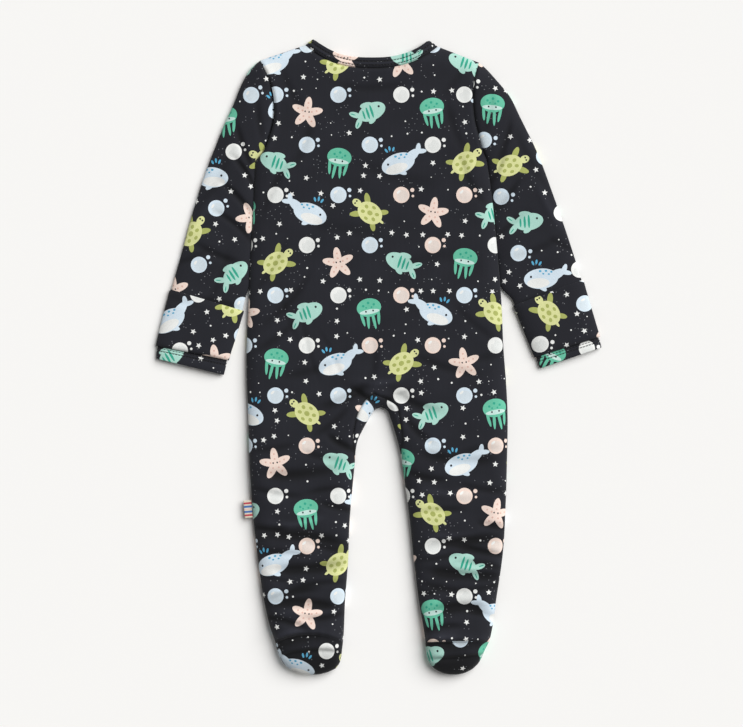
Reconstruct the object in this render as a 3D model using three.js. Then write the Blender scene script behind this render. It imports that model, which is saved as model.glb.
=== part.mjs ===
// A baby's footed sleepsuit in cotton jersey, lying flat on its front so that its back shows.
// Millimetres. +X is the wearer's right, +Y runs from the feet to the neck, +Z is up from the table.
// Until the last lines x is counted from the middle of the chest and y from the end of the feet.
import * as THREE from "three";

// Cloth and seams.
const wall = 1.2;
const bandWall = 2;
const seamGap = 0.3;
const gussetGap = 0.5;

// The neck: its binding, how far the front's seam drops, and how square the curves of back and front are.
const bandWidth = 10;
const frontNeckDrop = 48;
const neckSquareness = { back: 2.6, front: 2.2 };

// The lap of the two fronts: half its width, the height over which it widens from nothing,
// and how far the right front is raised over the left one, how wide the slope down from it is,
// and the height over which that lift begins above the gusset.
const lapHalf = 10;
const lapStart = 20;
const lapWidening = 70;
const lapLift = bandWall + seamGap;
const lapRamp = 14;
const lapClear = 2;
const liftStart = 18;

// How far in from the outline the cloth rounds over, above and underneath.
const roundOver = 15;
const roundUnder = 6;

// Brings the tuck beside the underarm, which is share ** 8 * (1 - share), to a height of one.
const tuckPeak = 23.1;

// Steps of the grids.
const edgeSteps = 5;
const middleSteps = 4;
const armholeSteps = 10;
const neckSteps = 8;
const gussetSteps = 4;
const shoulderShares = [0, 0.03, 0.11, 0.24, 0.42, 0.68];
const sleeveEdgeShares = [0, 0.16, 0.5];

const { PI, abs, acos, cos, exp, hypot, max, min, round, sin } = Math;

// Gives each row of a short table its columns' names.
function table(columns, rows) {
  return rows.map((row) => Object.fromEntries(columns.map((name, i) => [name, row[i]])));
}

const mix = (a, b, share) => a + (b - a) * share;
const mixPoint = (a, b, share) => [mix(a[0], b[0], share), mix(a[1], b[1], share)];
const clamp = (value) => min(1, max(0, value));
const ease = (value) => clamp(value) ** 2 * (3 - 2 * clamp(value));
const steps = (count) => Array.from({ length: count + 1 }, (_, i) => i / count);
const point = (row) => [row.x, row.y];

// The height of the top cloth and of the side seam above the table, up the garment.
const bulk = table(
  ["y", "top", "seam"],
  [
    [0, 17, 6.5],
    [40, 16, 6],
    [75, 13, 5],
    [200, 12.5, 4.8],
    [265, 11, 4.3],
    [330, 9.6, 3.8],
    [480, 9, 3.6],
    [560, 8.6, 3.4],
    [600, 8, 3.2],
  ],
);

// A sleeve lies thinner than the chest, and reaches this height two stations down from the armhole.
const sleeveBulk = { top: 6.4, seam: 2.8 };

// The outer side of each leg and of the body, from the underarm to the heel seam.
const leftSide = table(
  ["x", "y"],
  [
    [-115.7, 484.2],
    [-116.6, 462.7],
    [-118.3, 428.9],
    [-120.1, 395.2],
    [-122.2, 349.2],
    [-123.8, 310.8],
    [-123.8, 280.8],
    [-122.4, 250],
    [-121.3, 205.8],
    [-118.5, 160.8],
    [-113.8, 115.8],
    [-107.2, 70.8],
    [-101.6, 47],
    [-96.9, 33.3],
  ],
);
const rightSide = table(
  ["x", "y"],
  [
    [101.8, 485.2],
    [105.6, 459.8],
    [110.3, 414.8],
    [113.1, 383.9],
    [115.4, 353.9],
    [117.8, 303.3],
    [119.6, 280.8],
    [121.2, 250],
    [120.6, 198.3],
    [119.6, 164.5],
    [116.8, 115.8],
    [110.3, 70.8],
    [107, 47],
    [103.7, 33.3],
  ],
);

// The inner side of each leg, from the end of the gusset to the heel seam.
const leftInner = table(
  ["x", "y"],
  [
    [-21.9, 203.9],
    [-24.7, 173.9],
    [-26.9, 148],
    [-28.5, 108.3],
    [-31.3, 70.8],
    [-33.2, 33.3],
  ],
);
const rightInner = table(
  ["x", "y"],
  [
    [21.7, 203.9],
    [25.9, 173.9],
    [28.9, 152],
    [33.4, 108.3],
    [38.1, 70.8],
    [44, 33.3],
  ],
);

// The foot's two sides, from the heel seam to the end, which bows out between them.
const leftFoot = table(
  ["outer", "inner", "y"],
  [
    [-96.9, -33.2, 33.3],
    [-95.1, -34.1, 25.8],
    [-92.2, -35.1, 18.3],
    [-89, -36.5, 13.2],
    [-84, -40, 8.5],
  ],
);
const rightFoot = table(
  ["outer", "inner", "y"],
  [
    [103.7, 44, 33.3],
    [99.9, 44.6, 25.8],
    [96.7, 45.8, 18.3],
    [93.8, 48, 13.2],
    [89, 52, 8.5],
  ],
);
const footEndBow = -6;
const heelBow = 8;
const toeBow = 34;
const bowStart = 112;
const bowPower = 1.3;
const bowSquareness = 2.2;
const footShares = [0.25, 0.48, 0.68, 0.84, 0.95, 1];

// The crotch: points on its folded edge, and the turn of the cloth, from the edge, at the gusset's seam.
// The rows of cloth that end there lean from its height towards the hip's.
const crotchTop = { x: 2.4, y: 253.6 };
const seamTop = [-4.1, 265.8];
const hip = { y: 258, lean: 0.4 };
const leftArch = table(
  ["x", "y", "turn"],
  [
    [-4.1, 250.2, 80],
    [-9.7, 241.4, 76],
    [-14.9, 232, 64],
    [-19.1, 223, 48],
    [-21.2, 213.6, 28],
    [-21.9, 203.9, 6],
  ],
);
const rightArch = table(
  ["x", "y", "turn"],
  [
    [8.6, 249.8, 68],
    [11.9, 241.6, 62],
    [14.8, 232.3, 55],
    [17.7, 222.7, 45],
    [20.2, 212.5, 26],
    [21.7, 203.9, 6],
  ],
);

// Neck and shoulders.
const leftNeck = [-68.8, 593.4];
const rightNeck = [55.9, 592];
const leftTip = [-61.3, 599.2];
const rightTip = [47.4, 597.9];
const leftShoulder = [-111, 578.9];
const rightShoulder = [94.3, 577];
const neckMiddle = [-6.5, 571.5];

// The armhole seams, from the shoulder to the underarm.
const leftArmhole = table(
  ["x", "y"],
  [
    [-111, 578.9],
    [-103.5, 563],
    [-98.8, 547],
    [-97.9, 524.5],
    [-103.2, 503.9],
    [-108.4, 492],
    [-115.7, 484.2],
  ],
);
const rightArmhole = table(
  ["x", "y"],
  [
    [94.3, 577],
    [89.8, 561.1],
    [88.7, 545.2],
    [90.4, 522.7],
    [94.6, 506],
    [98, 493.5],
    [101.8, 485.2],
  ],
);

// Stations down the sleeves, from just below the armhole to the cuff's seam: the folded outer edge and the
// underarm edge. The rows near the armhole follow its bow, and tuck outwards beside the underarm.
const sleeveColumns = ["outerX", "outerY", "innerX", "innerY", "bow", "tuck"];
const leftSleeve = table(sleeveColumns, [
  [-119.4, 571.9, -116.9, 478.4, 0.8, -4],
  [-127.9, 557.8, -117.8, 462, 0.5, -3],
  [-136, 538, -118.7, 447, 0.25, -1.6],
  [-145.7, 516.1, -119.7, 428.9, 0.08, -0.5],
  [-161.6, 475.8, -121.2, 404.5, 0, 0],
  [-173.8, 438.3, -122.7, 381.1, 0, 0],
  [-184.1, 400.8, -124.4, 361.4, 0, 0],
  [-194.4, 363.8, -127.8, 344.1, 0, 0],
  [-201.9, 335.2, -134.9, 320.2, 0, 0],
  [-207.6, 310.8, -141.9, 297.7, 0, 0],
]);
const rightSleeve = table(sleeveColumns, [
  [100.9, 571.4, 103.4, 478.8, 0.8, 3],
  [111.5, 559.8, 106, 464, 0.5, 2.4],
  [123.4, 545.2, 108.6, 448, 0.25, 1.4],
  [132.8, 526.4, 110.4, 430.8, 0.08, 0.5],
  [149.6, 491.7, 112.6, 408.3, 0, 0],
  [163.7, 454.2, 114.8, 385.8, 0, 0],
  [177.8, 413.9, 120.1, 367, 0, 0],
  [190.9, 372.7, 128.1, 349.2, 0, 0],
  [199.3, 344.5, 137.9, 324.8, 0, 0],
  [206.8, 319.2, 147.8, 300.5, 0, 0],
]);
const mittenStation = 8;
const leftCuffEnd = { outer: [-208.7, 299], inner: [-145.2, 283.6] };
const rightCuffEnd = { outer: [209.6, 309.4], inner: [151.8, 289.8] };

// How much of the chest's bulk a sleeve keeps at a distance from its armhole.
const chestShare = table(
  ["y", "share"],
  [
    [0, 1],
    [20, 0.62],
    [45, 0.2],
    [70, 0],
  ],
);

// The largest creases, as soft troughs in the top cloth: middle, turn from the x axis and half sizes.
const folds = table(
  ["x", "y", "turn", "reach", "breadth", "depth"],
  [
    [-76, 190, 4, 34, 6, 1.1],
    [-70, 132, -6, 36, 6, 1.4],
    [-66, 102, 5, 34, 6, 1.6],
    [-72, 70, -3, 32, 6, 1.8],
    [72, 204, -5, 34, 6, 1.1],
    [76, 128, 6, 36, 6, 1.3],
    [80, 96, -4, 34, 6, 1.5],
    [74, 66, 4, 30, 6, 1.7],
    [-30, 262, 28, 24, 6, 1],
    [34, 256, -24, 24, 6, 1],
  ],
);

// Reads a table's column at a height by straight steps between its rows.
function readAt(rows, column, y) {
  const sorted = rows[0].y < rows[rows.length - 1].y ? rows : [...rows].reverse();
  const next = sorted.findIndex((row) => row.y >= y);
  if (next < 0) return sorted[sorted.length - 1][column];
  if (next === 0) return sorted[0][column];
  const a = sorted[next - 1];
  const b = sorted[next];
  return mix(a[column], b[column], (y - a.y) / (b.y - a.y));
}

// Points spread along a smooth curve through the given ones, closer together at both ends.
function spread(points, count) {
  const curve = new THREE.SplineCurve(points.map((p) => new THREE.Vector2(...p)));
  return steps(count).map((t) => {
    const share = mix(t, (1 - cos(PI * t)) / 2, 0.7);
    const at = curve.getPointAt(share);
    return [at.x, at.y];
  });
}

// The unit direction across a step of an outline, on its left-hand side.
function leftOf(a, b) {
  const length = hypot(b[0] - a[0], b[1] - a[1]);
  return [-(b[1] - a[1]) / length, (b[0] - a[0]) / length];
}

// The side direction at each point of an open outline, averaged over the steps that meet there.
function sidesOf(line) {
  return line.map((_, i) => {
    const before = i > 0 ? leftOf(line[i - 1], line[i]) : null;
    const after = i < line.length - 1 ? leftOf(line[i], line[i + 1]) : null;
    const both = before && after ? [before[0] + after[0], before[1] + after[1]] : before ?? after;
    const length = hypot(...both);
    return [both[0] / length, both[1] / length];
  });
}

// Distance in from the nearest outline, and the direction that leads away from it.
// Each outline has the cloth on its left-hand side.
function fromOutline(lines, p) {
  let best = { distance: Infinity, away: [0, 0] };
  for (const line of lines) {
    const sides = line.sides;
    for (let i = 0; i < line.points.length - 1; i += 1) {
      const a = line.points[i];
      const b = line.points[i + 1];
      const step = [b[0] - a[0], b[1] - a[1]];
      const along = (p[0] - a[0]) * step[0] + (p[1] - a[1]) * step[1];
      const share = clamp(along / (step[0] ** 2 + step[1] ** 2));
      const near = mixPoint(a, b, share);
      const gap = [p[0] - near[0], p[1] - near[1]];
      const distance = hypot(...gap);
      if (distance >= best.distance - 1e-9) continue;
      const side = mixPoint(sides[i], sides[i + 1], share);
      const isInside = gap[0] * side[0] + gap[1] * side[1] > 0;
      const isPastEnd = (i === 0 && share === 0) || (i === line.points.length - 2 && share === 1);
      const clear = distance > 0.02 && (isInside || isPastEnd);
      const scale = clear ? distance : hypot(...side);
      const away = clear ? gap : side;
      best = { distance, away: [away[0] / scale, away[1] / scale] };
    }
  }
  return best;
}

const outline = (points) => ({ points, sides: sidesOf(points) });

// The depth of the creases at a place on the top cloth.
function creaseDepth(x, y) {
  let depth = 0;
  for (const fold of folds) {
    const turn = THREE.MathUtils.degToRad(fold.turn);
    const along = (x - fold.x) * cos(turn) + (y - fold.y) * sin(turn);
    const across = (y - fold.y) * cos(turn) - (x - fold.x) * sin(turn);
    depth += fold.depth * exp(-((across / fold.breadth) ** 2)) * exp(-((along / fold.reach) ** 4));
  }
  return depth;
}

// Height of the cloth's outer surface, and how far it has turned from upright at the edge to level.
// A form has outlines, the heights of its top and seam at a place, and the gap that its seam leaves.
function surfaceAt(form, p, isTop, seamShare) {
  const { distance, away } = fromOutline(form.outlines, p);
  const { top, seam } = form.heights(p);
  const radius = isTop ? roundOver : roundUnder;
  const inward = distance < 1e-6 ? 0 : min(distance, radius);
  const turn = acos(1 - inward / radius);
  const start = (seamShare * seamGap) / 2;
  const crease = isTop && form.creased ? creaseDepth(...p) * sin(turn) : 0;
  const z = isTop
    ? seam + start + (top - seam - start) * sin(turn) - crease
    : (seam - start) * (1 - sin(turn));
  return { z, turn, away };
}

// One vertex of a piece of cloth: a point on its outer face and the one behind it.
// outward gives how far each face stands off the form, and along keeps the cut edge on its seam.
function clothVertex(form, p, isTop, options) {
  const { faces = [0, -wall], seamShare = 1, lift = 0, along = null } = options;
  const { z, turn, away } = surfaceAt(form, p, isTop, seamShare);
  let flat = away;
  if (along) {
    const share = away[0] * along[0] + away[1] * along[1];
    flat = [along[0] * share, along[1] * share];
  }
  const rise = (isTop ? 1 : -1) * sin(turn);
  return faces.map((stand) => [
    p[0] - flat[0] * cos(turn) * stand,
    p[1] - flat[1] * cos(turn) * stand,
    z + rise * stand + (typeof lift === "function" ? lift(p) : lift),
  ]);
}

// A patch of cloth from a grid of plan points.
function patch(form, grid, isTop, options = {}) {
  return {
    isTop,
    vertices: grid.map((row) =>
      row.map((p) => clothVertex(form, p, isTop, { ...options, along: p.along ?? null })),
    ),
  };
}

// Splits a cell of a grid into two triangles along the shorter of its diagonals.
function twoTriangles(ids, positions, i, j) {
  const [a, b, c, d] = [ids[j][i], ids[j][i + 1], ids[j + 1][i + 1], ids[j + 1][i]];
  const length = (p, q) => hypot(...positions[p].map((value, k) => value - positions[q][k]));
  return length(a, c) <= length(b, d) ? [[a, b, c], [a, c, d]] : [[a, b, d], [b, c, d]];
}

// Joins patches into one closed piece: outer face, inner face, and the cut edge wherever a side is free.
function piece(name, color, patches) {
  const keys = new Map();
  const positions = [];
  const inner = [];
  const indexOf = (vertex) => {
    const key = vertex[0].map((v) => round(v * 1000)).join(" ");
    if (!keys.has(key)) {
      keys.set(key, positions.length);
      positions.push(vertex[0]);
      inner.push(vertex[1]);
    }
    return keys.get(key);
  };
  const faces = [];
  for (const { vertices, isTop } of patches) {
    const ids = vertices.map((row) => row.map(indexOf));
    let area = 0;
    const made = [];
    for (let j = 0; j < ids.length - 1; j += 1) {
      for (let i = 0; i < ids[0].length - 1; i += 1) {
        for (const [a, b, c] of twoTriangles(ids, positions, i, j)) {
          if (a === b || b === c || c === a) continue;
          const [p, q, r] = [positions[a], positions[b], positions[c]];
          area += (q[0] - p[0]) * (r[1] - p[1]) - (q[1] - p[1]) * (r[0] - p[0]);
          made.push([a, b, c]);
        }
      }
    }
    const isTurned = area > 0 !== isTop;
    faces.push(...made.map(([a, b, c]) => (isTurned ? [a, c, b] : [a, b, c])));
  }
  const used = new Set(faces.flatMap(([a, b, c]) => [`${a} ${b}`, `${b} ${c}`, `${c} ${a}`]));
  const count = positions.length;
  const closed = [...faces, ...faces.map(([a, b, c]) => [a + count, c + count, b + count])];
  for (const [a, b, c] of faces) {
    for (const [from, to] of [
      [a, b],
      [b, c],
      [c, a],
    ]) {
      if (used.has(`${to} ${from}`)) continue;
      closed.push([to, from, from + count], [to, from + count, to + count]);
    }
  }
  const geometry = new THREE.BufferGeometry();
  const all = [...positions, ...inner].flat();
  geometry.setAttribute("position", new THREE.BufferAttribute(new Float32Array(all), 3));
  geometry.setIndex(closed.flat());
  geometry.computeVertexNormals();
  const material = new THREE.MeshStandardMaterial({ color, roughness: 0.9, metalness: 0 });
  const mesh = new THREE.Mesh(geometry, material);
  mesh.name = name;
  return mesh;
}

// Shares across a strip that is rounded over at both sides: closer together near each edge.
function acrossPoints(start, end, bow = 0) {
  const width = hypot(end[0] - start[0], end[1] - start[1]);
  const zone = min(roundOver / width, 0.4);
  const edge = steps(edgeSteps).map((t) => (1 - cos((PI / 2) * t)) * zone);
  const middle = steps(middleSteps).map((t) => mix(zone, 1 - zone, t));
  const shares = [...edge, ...middle.slice(1, -1), ...edge.map((share) => 1 - share).reverse()];
  return shares.map((share) => {
    const [x, y] = mixPoint(start, end, share);
    return [x, y + bow * (1 - abs(2 * share - 1) ** bowSquareness)];
  });
}

// Heights of the rows across one leg, closest together over its creases.
const legRowHeights = [196, 188, 178, 160, 146, 138, 130, 122, 112, 102, 94, 86, 76, 68, 60, 48, 33.3];

// The place of the gusset's seam, in from the folded edge.
const seamPoint = (arch, side) => {
  const distance = roundOver * (1 - cos(THREE.MathUtils.degToRad(arch.turn)));
  return [arch.x + side[0] * distance, arch.y + side[1] * distance];
};

// One side of the suit, with everything that the pieces on that side share.
function makeHalf(spec) {
  const { side, inner, foot, arch, isLeft } = spec;
  const chain = [...arch.map(point)].reverse().concat([point(crotchTop)]);
  const line = isLeft ? chain : [...chain].reverse();
  const sides = sidesOf(line);
  const sideAt = (i) => (isLeft ? sides[arch.length - 1 - i] : sides[i + 1]);
  const archRows = arch.map((row, i) => {
    const outerY = mix(row.y, hip.y, hip.lean);
    const outer = [readAt(side, "x", outerY), outerY];
    return { outer, seam: seamPoint(row, sideAt(i)), edge: point(row), away: sideAt(i) };
  });
  const innerRows = legRowHeights.map((y) => ({
    outer: [readAt(side, "x", y), y],
    seam: [readAt(inner, "x", y), y],
    edge: [readAt(inner, "x", y), y],
  }));
  const end = foot[foot.length - 1].y;
  const footRows = footShares.map((share) => {
    const y = mix(foot[0].y, end, share);
    return { share, outer: [readAt(foot, "outer", y), y], edge: [readAt(foot, "inner", y), y] };
  });
  return { ...spec, archRows, innerRows, footRows };
}

const left = makeHalf({
  isLeft: true,
  side: leftSide,
  inner: leftInner,
  foot: leftFoot,
  arch: leftArch,
  armhole: spread(leftArmhole.map(point), armholeSteps),
  shoulder: leftShoulder,
  neck: leftNeck,
  tip: leftTip,
});
const right = makeHalf({
  isLeft: false,
  side: rightSide,
  inner: rightInner,
  foot: rightFoot,
  arch: rightArch,
  armhole: spread(rightArmhole.map(point), armholeSteps),
  shoulder: rightShoulder,
  neck: rightNeck,
  tip: rightTip,
});

// Rows across the body between the underarm and the top of the gusset.
const bodyRowHeights = [455, 415, 375, 335, 305, 287, 277, 268];
const bodyRows = [
  { left: left.armhole[armholeSteps], right: right.armhole[armholeSteps] },
  ...bodyRowHeights.map((y) => ({
    left: [readAt(leftSide, "x", y), y],
    right: [readAt(rightSide, "x", y), y],
  })),
];
const bodyFoot = bodyRows[bodyRows.length - 1];
bodyFoot.middle = seamTop;

// The middle of the back or of the front at a height.
function middleAt(y) {
  const share = (neckMiddle[1] - y) / (neckMiddle[1] - seamTop[1]);
  return mix(neckMiddle[0], seamTop[0], share);
}
for (const row of bodyRows) {
  const y = (row.left[1] + row.right[1]) / 2;
  row.middle ??= [middleAt(y), y];
}

// The end of each foot bows outwards, as a row of points between its two sides.
const footEnd = (half) => {
  const last = half.footRows[half.footRows.length - 1];
  return acrossPoints(last.outer, last.edge, footEndBow);
};

// The outline of the body and legs, walked with the cloth on its left: down the left side and up the right.
function bodyOutline() {
  const down = (half) => [
    ...bodyRows.map((row) => (half.isLeft ? row.left : row.right)),
    ...half.archRows.map((row) => row.outer),
    ...half.innerRows.map((row) => row.outer),
    ...half.footRows.slice(0, -1).map((row) => row.outer),
  ];
  const up = (half) => [
    ...half.footRows.slice(0, -1).map((row) => row.edge).reverse(),
    ...half.innerRows.map((row) => row.edge).reverse(),
    ...half.archRows.map((row) => row.edge).reverse(),
  ];
  return [
    ...down(left),
    ...footEnd(left),
    ...up(left),
    point(crotchTop),
    ...up(right).reverse(),
    ...footEnd(right).reverse(),
    ...down(right).reverse(),
  ];
}

const body = {
  creased: true,
  outlines: [
    outline(bodyOutline()),
    outline([leftTip, leftNeck, leftShoulder]),
    outline([rightShoulder, rightNeck, rightTip]),
  ],
  heights: (p) => ({ top: readAt(bulk, "top", p[1]), seam: readAt(bulk, "seam", p[1]) }),
};

// The back's neck seam and the deeper one of the front, as heights over the width of the neck.
function neckPoint(share, isFront) {
  const x = mix(leftNeck[0], rightNeck[0], share);
  const shoulderY = mix(leftNeck[1], rightNeck[1], share);
  const drop = isFront ? frontNeckDrop : shoulderY - neckMiddle[1];
  const power = isFront ? neckSquareness.front : neckSquareness.back;
  return [x, shoulderY - drop * (1 - abs(2 * share - 1) ** power)];
}

// Shares over the neck's width, close together beside each shoulder.
const neckShares = steps(neckSteps).map((t) => t ** 1.25 / 2);

// Fills a grid between four edges: rows run from the bottom edge to the top one.
function between(bottom, top, leftEdge, rightEdge) {
  const last = bottom.length - 1;
  return leftEdge.map((_, j) => {
    const v = j / (leftEdge.length - 1);
    return bottom.map((low, i) => {
      const u = (low[0] - bottom[0][0]) / (bottom[last][0] - bottom[0][0]);
      return [0, 1].map((k) => {
        const ends = mix(low[k], top[i][k], v) + mix(leftEdge[j][k], rightEdge[j][k], u);
        const corners = mix(mix(bottom[0][k], bottom[last][k], u), mix(top[0][k], top[last][k], u), v);
        return ends - corners;
      });
    });
  });
}

// The top edge of half a panel: along the shoulder to the neck, then round the neck to a share of its width.
function topEdge(half, isFront, lastShare) {
  const shoulder = shoulderShares.map((share) => mixPoint(half.shoulder, half.neck, share));
  const scale = lastShare / neckShares[neckSteps];
  const neck = neckShares.map((share) => {
    const across = half.isLeft ? share * scale : 1 - share * scale;
    return neckPoint(across, isFront);
  });
  return [...shoulder, ...neck];
}

// Half a panel above the gusset, as a grid from the outer side to the middle, its rows from the bottom up.
function upperGrid(half, isFront, reach) {
  const low = bodyRows.map((row) => {
    const outer = half.isLeft ? row.left : row.right;
    const y = row.middle[1];
    const end = [row.middle[0] + (half.isLeft ? 1 : -1) * reach(y), y];
    return acrossPoints(outer, end);
  });
  const neckWidth = rightNeck[0] - leftNeck[0];
  const lastShare = 0.5 + reach(neckMiddle[1]) / neckWidth;
  const top = topEdge(half, isFront, lastShare);
  const outerEdge = [...half.armhole].reverse();
  const start = low[0][low[0].length - 1];
  const finish = top[top.length - 1];
  const innerEdge = steps(armholeSteps).map((t) => mixPoint(start, finish, t));
  const yoke = between(low[0], top, outerEdge, innerEdge);
  for (const [j, row] of yoke.entries()) row[0].along = seamDirection(outerEdge, j);
  return [...low.reverse(), ...yoke.slice(1)];
}

// The direction of a seam at one of its points.
function seamDirection(line, i) {
  const a = line[max(0, i - 1)];
  const b = line[min(line.length - 1, i + 1)];
  const length = hypot(b[0] - a[0], b[1] - a[1]);
  return [(b[0] - a[0]) / length, (b[1] - a[1]) / length];
}

// Half a panel below the gusset's top: the leg, whose last rows bow to the heel's or the toe's seam.
function legGrid(half, bow, shift) {
  const first = half.isLeft ? bodyFoot.left : bodyFoot.right;
  const top = acrossPoints(first, [seamTop[0] + shift, seamTop[1]]);
  const arch = half.archRows.map((row) => acrossPoints(row.outer, row.seam));
  const end = half.foot[0].y;
  const below = half.innerRows.map((row) => {
    const share = clamp((bowStart - row.outer[1]) / (bowStart - end));
    return acrossPoints(row.outer, row.edge, bow * share ** bowPower);
  });
  return [top, ...arch, ...below];
}

const backColor = 0x24252b;
const frontColor = 0x27282e;

// The back, cut in one from the neck to both heels, with the gusset's place cut out at the crotch.
function makeBack() {
  const patches = [left, right].flatMap((half) => [
    patch(body, upperGrid(half, false, () => 0), true),
    patch(body, legGrid(half, heelBow, 0), true),
  ]);
  return piece("back", backColor, patches);
}

// Half of the overlap of the two fronts, which narrows to nothing above the gusset.
function lapReach(y) {
  return mix(-seamGap / 2, lapHalf, ease((y - seamTop[1] - lapStart) / lapWidening));
}

// The right front is raised where it lies on the left one.
function lapRise(p) {
  const edge = middleAt(p[1]) + lapHalf + lapClear;
  const across = ease((edge + lapRamp - p[0]) / lapRamp);
  const up = ease((p[1] - seamTop[1]) / liftStart);
  return lapLift * across * up;
}

function makeFront(half) {
  const lift = half.isLeft ? 0 : lapRise;
  const shift = (half.isLeft ? -1 : 1) * (seamGap / 2);
  const patches = [
    patch(body, upperGrid(half, true, lapReach), false, { lift }),
    patch(body, legGrid(half, toeBow, shift), false, { lift }),
  ];
  return piece(half.isLeft ? "front_left" : "front_right", frontColor, patches);
}

// The gusset is folded over the crotch's edge, and covers the same width above and underneath.
function makeGusset() {
  const toSeam = [seamTop[0] - crotchTop.x, seamTop[1] - crotchTop.y];
  const reach = hypot(...toSeam);
  const away = [toSeam[0] / reach, toSeam[1] / reach];
  const top = { edge: point(crotchTop), away, distance: reach };
  const rows = (half) =>
    half.archRows.map((row, i) => {
      const distance = roundOver * (1 - cos(THREE.MathUtils.degToRad(half.arch[i].turn)));
      return { ...row, distance };
    });
  const stations = [...rows(left).reverse(), top, ...rows(right)];
  const grid = (isTop) =>
    stations.map((row) => {
      const reachIn = trimmed(row.distance, row.edge, isTop);
      return steps(gussetSteps).map((t) => {
        const distance = reachIn * t ** 2;
        return [row.edge[0] + row.away[0] * distance, row.edge[1] + row.away[1] * distance];
      });
    });
  const options = { seamShare: 0 };
  return piece("gusset", 0x2a2b32, [
    patch(body, grid(true), true, options),
    patch(body, grid(false), false, options),
  ]);
}

// A distance from the folded edge, less the gap of a seam measured along the rounded cloth.
function trimmed(distance, place, isTop) {
  const radius = isTop ? roundOver : roundUnder;
  if (distance >= radius) return distance - gussetGap;
  const { top, seam } = body.heights(place);
  const height = isTop ? top - seam : seam;
  const turn = acos(1 - distance / radius);
  const speed = hypot(radius * sin(turn), height * cos(turn));
  return radius * (1 - cos(max(0.02, turn - gussetGap / speed)));
}

// The sole runs from the heel's seam on top, round the end of the foot, to the toe's seam underneath.
function makeSole(half) {
  const options = { seamShare: 0 };
  const seamRow = half.innerRows[half.innerRows.length - 1];
  const rows = [{ ...seamRow, share: 0 }, ...half.footRows];
  const grid = (bow) => {
    const made = rows.map((row) => acrossPoints(row.outer, row.edge, mix(bow, footEndBow, row.share)));
    const seam = made[0];
    made[0] = seam.map((p, i) => {
      const next = made[1][i];
      const length = hypot(next[0] - p[0], next[1] - p[1]);
      if (i === 0 || i === seam.length - 1) return mixPoint(p, next, seamGap / length);
      const [dx, dy] = seamDirection(seam, i);
      const down = half.isLeft ? [dy, -dx] : [-dy, dx];
      return [p[0] + down[0] * seamGap, p[1] + down[1] * seamGap];
    });
    return made;
  };
  const name = half.isLeft ? "sole_left" : "sole_right";
  return piece(name, 0x1f2026, [
    patch(body, grid(heelBow), true, options),
    patch(body, grid(toeBow), false, options),
  ]);
}

// The neck band: from the front's left edge, round the left shoulder, the back and the right shoulder.
function makeNeckBand() {
  const neckWidth = rightNeck[0] - leftNeck[0];
  const neckLine = (half, isFront, lastShare) => topEdge(half, isFront, lastShare).slice(edgeSteps + 1);
  const foldOf = (half) => {
    const toTip = [half.tip[0] - half.neck[0], half.tip[1] - half.neck[1]];
    const length = hypot(...toTip);
    return { length, away: [toTip[0] / length, toTip[1] / length] };
  };
  const strip = (line, folds) => {
    const upward = sidesOf(line);
    return line.map((p, i) => {
      const [fold, apart] = i < neckSteps ? [folds[0], i] : [folds[1], line.length - 1 - i];
      const isFold = fold && apart === 0;
      const away = isFold ? fold.away : upward[i];
      const width = fold ? mix(fold.length, bandWidth, min(1, apart / 3)) : bandWidth;
      return [seamGap, width / 2, width].map((d) => [p[0] + away[0] * d, p[1] + away[1] * d]);
    });
  };
  const frontShare = 0.5 + lapReach(neckMiddle[1]) / neckWidth;
  const leftBack = neckLine(left, false, 0.5);
  const rightBack = neckLine(right, false, 0.5).reverse();
  const options = { faces: [0, -bandWall], seamShare: 0 };
  const raised = { ...options, lift: lapRise };
  const back = strip([...leftBack, ...rightBack.slice(1)], [foldOf(left), foldOf(right)]);
  const leftFront = strip(neckLine(left, true, frontShare), [foldOf(left), null]);
  const rightFront = strip(neckLine(right, true, frontShare).reverse(), [null, foldOf(right)]);
  return piece("neck_band", 0x202127, [
    patch(body, back, true, options),
    patch(body, leftFront, false, options),
    patch(body, rightFront, false, raised),
  ]);
}

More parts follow.
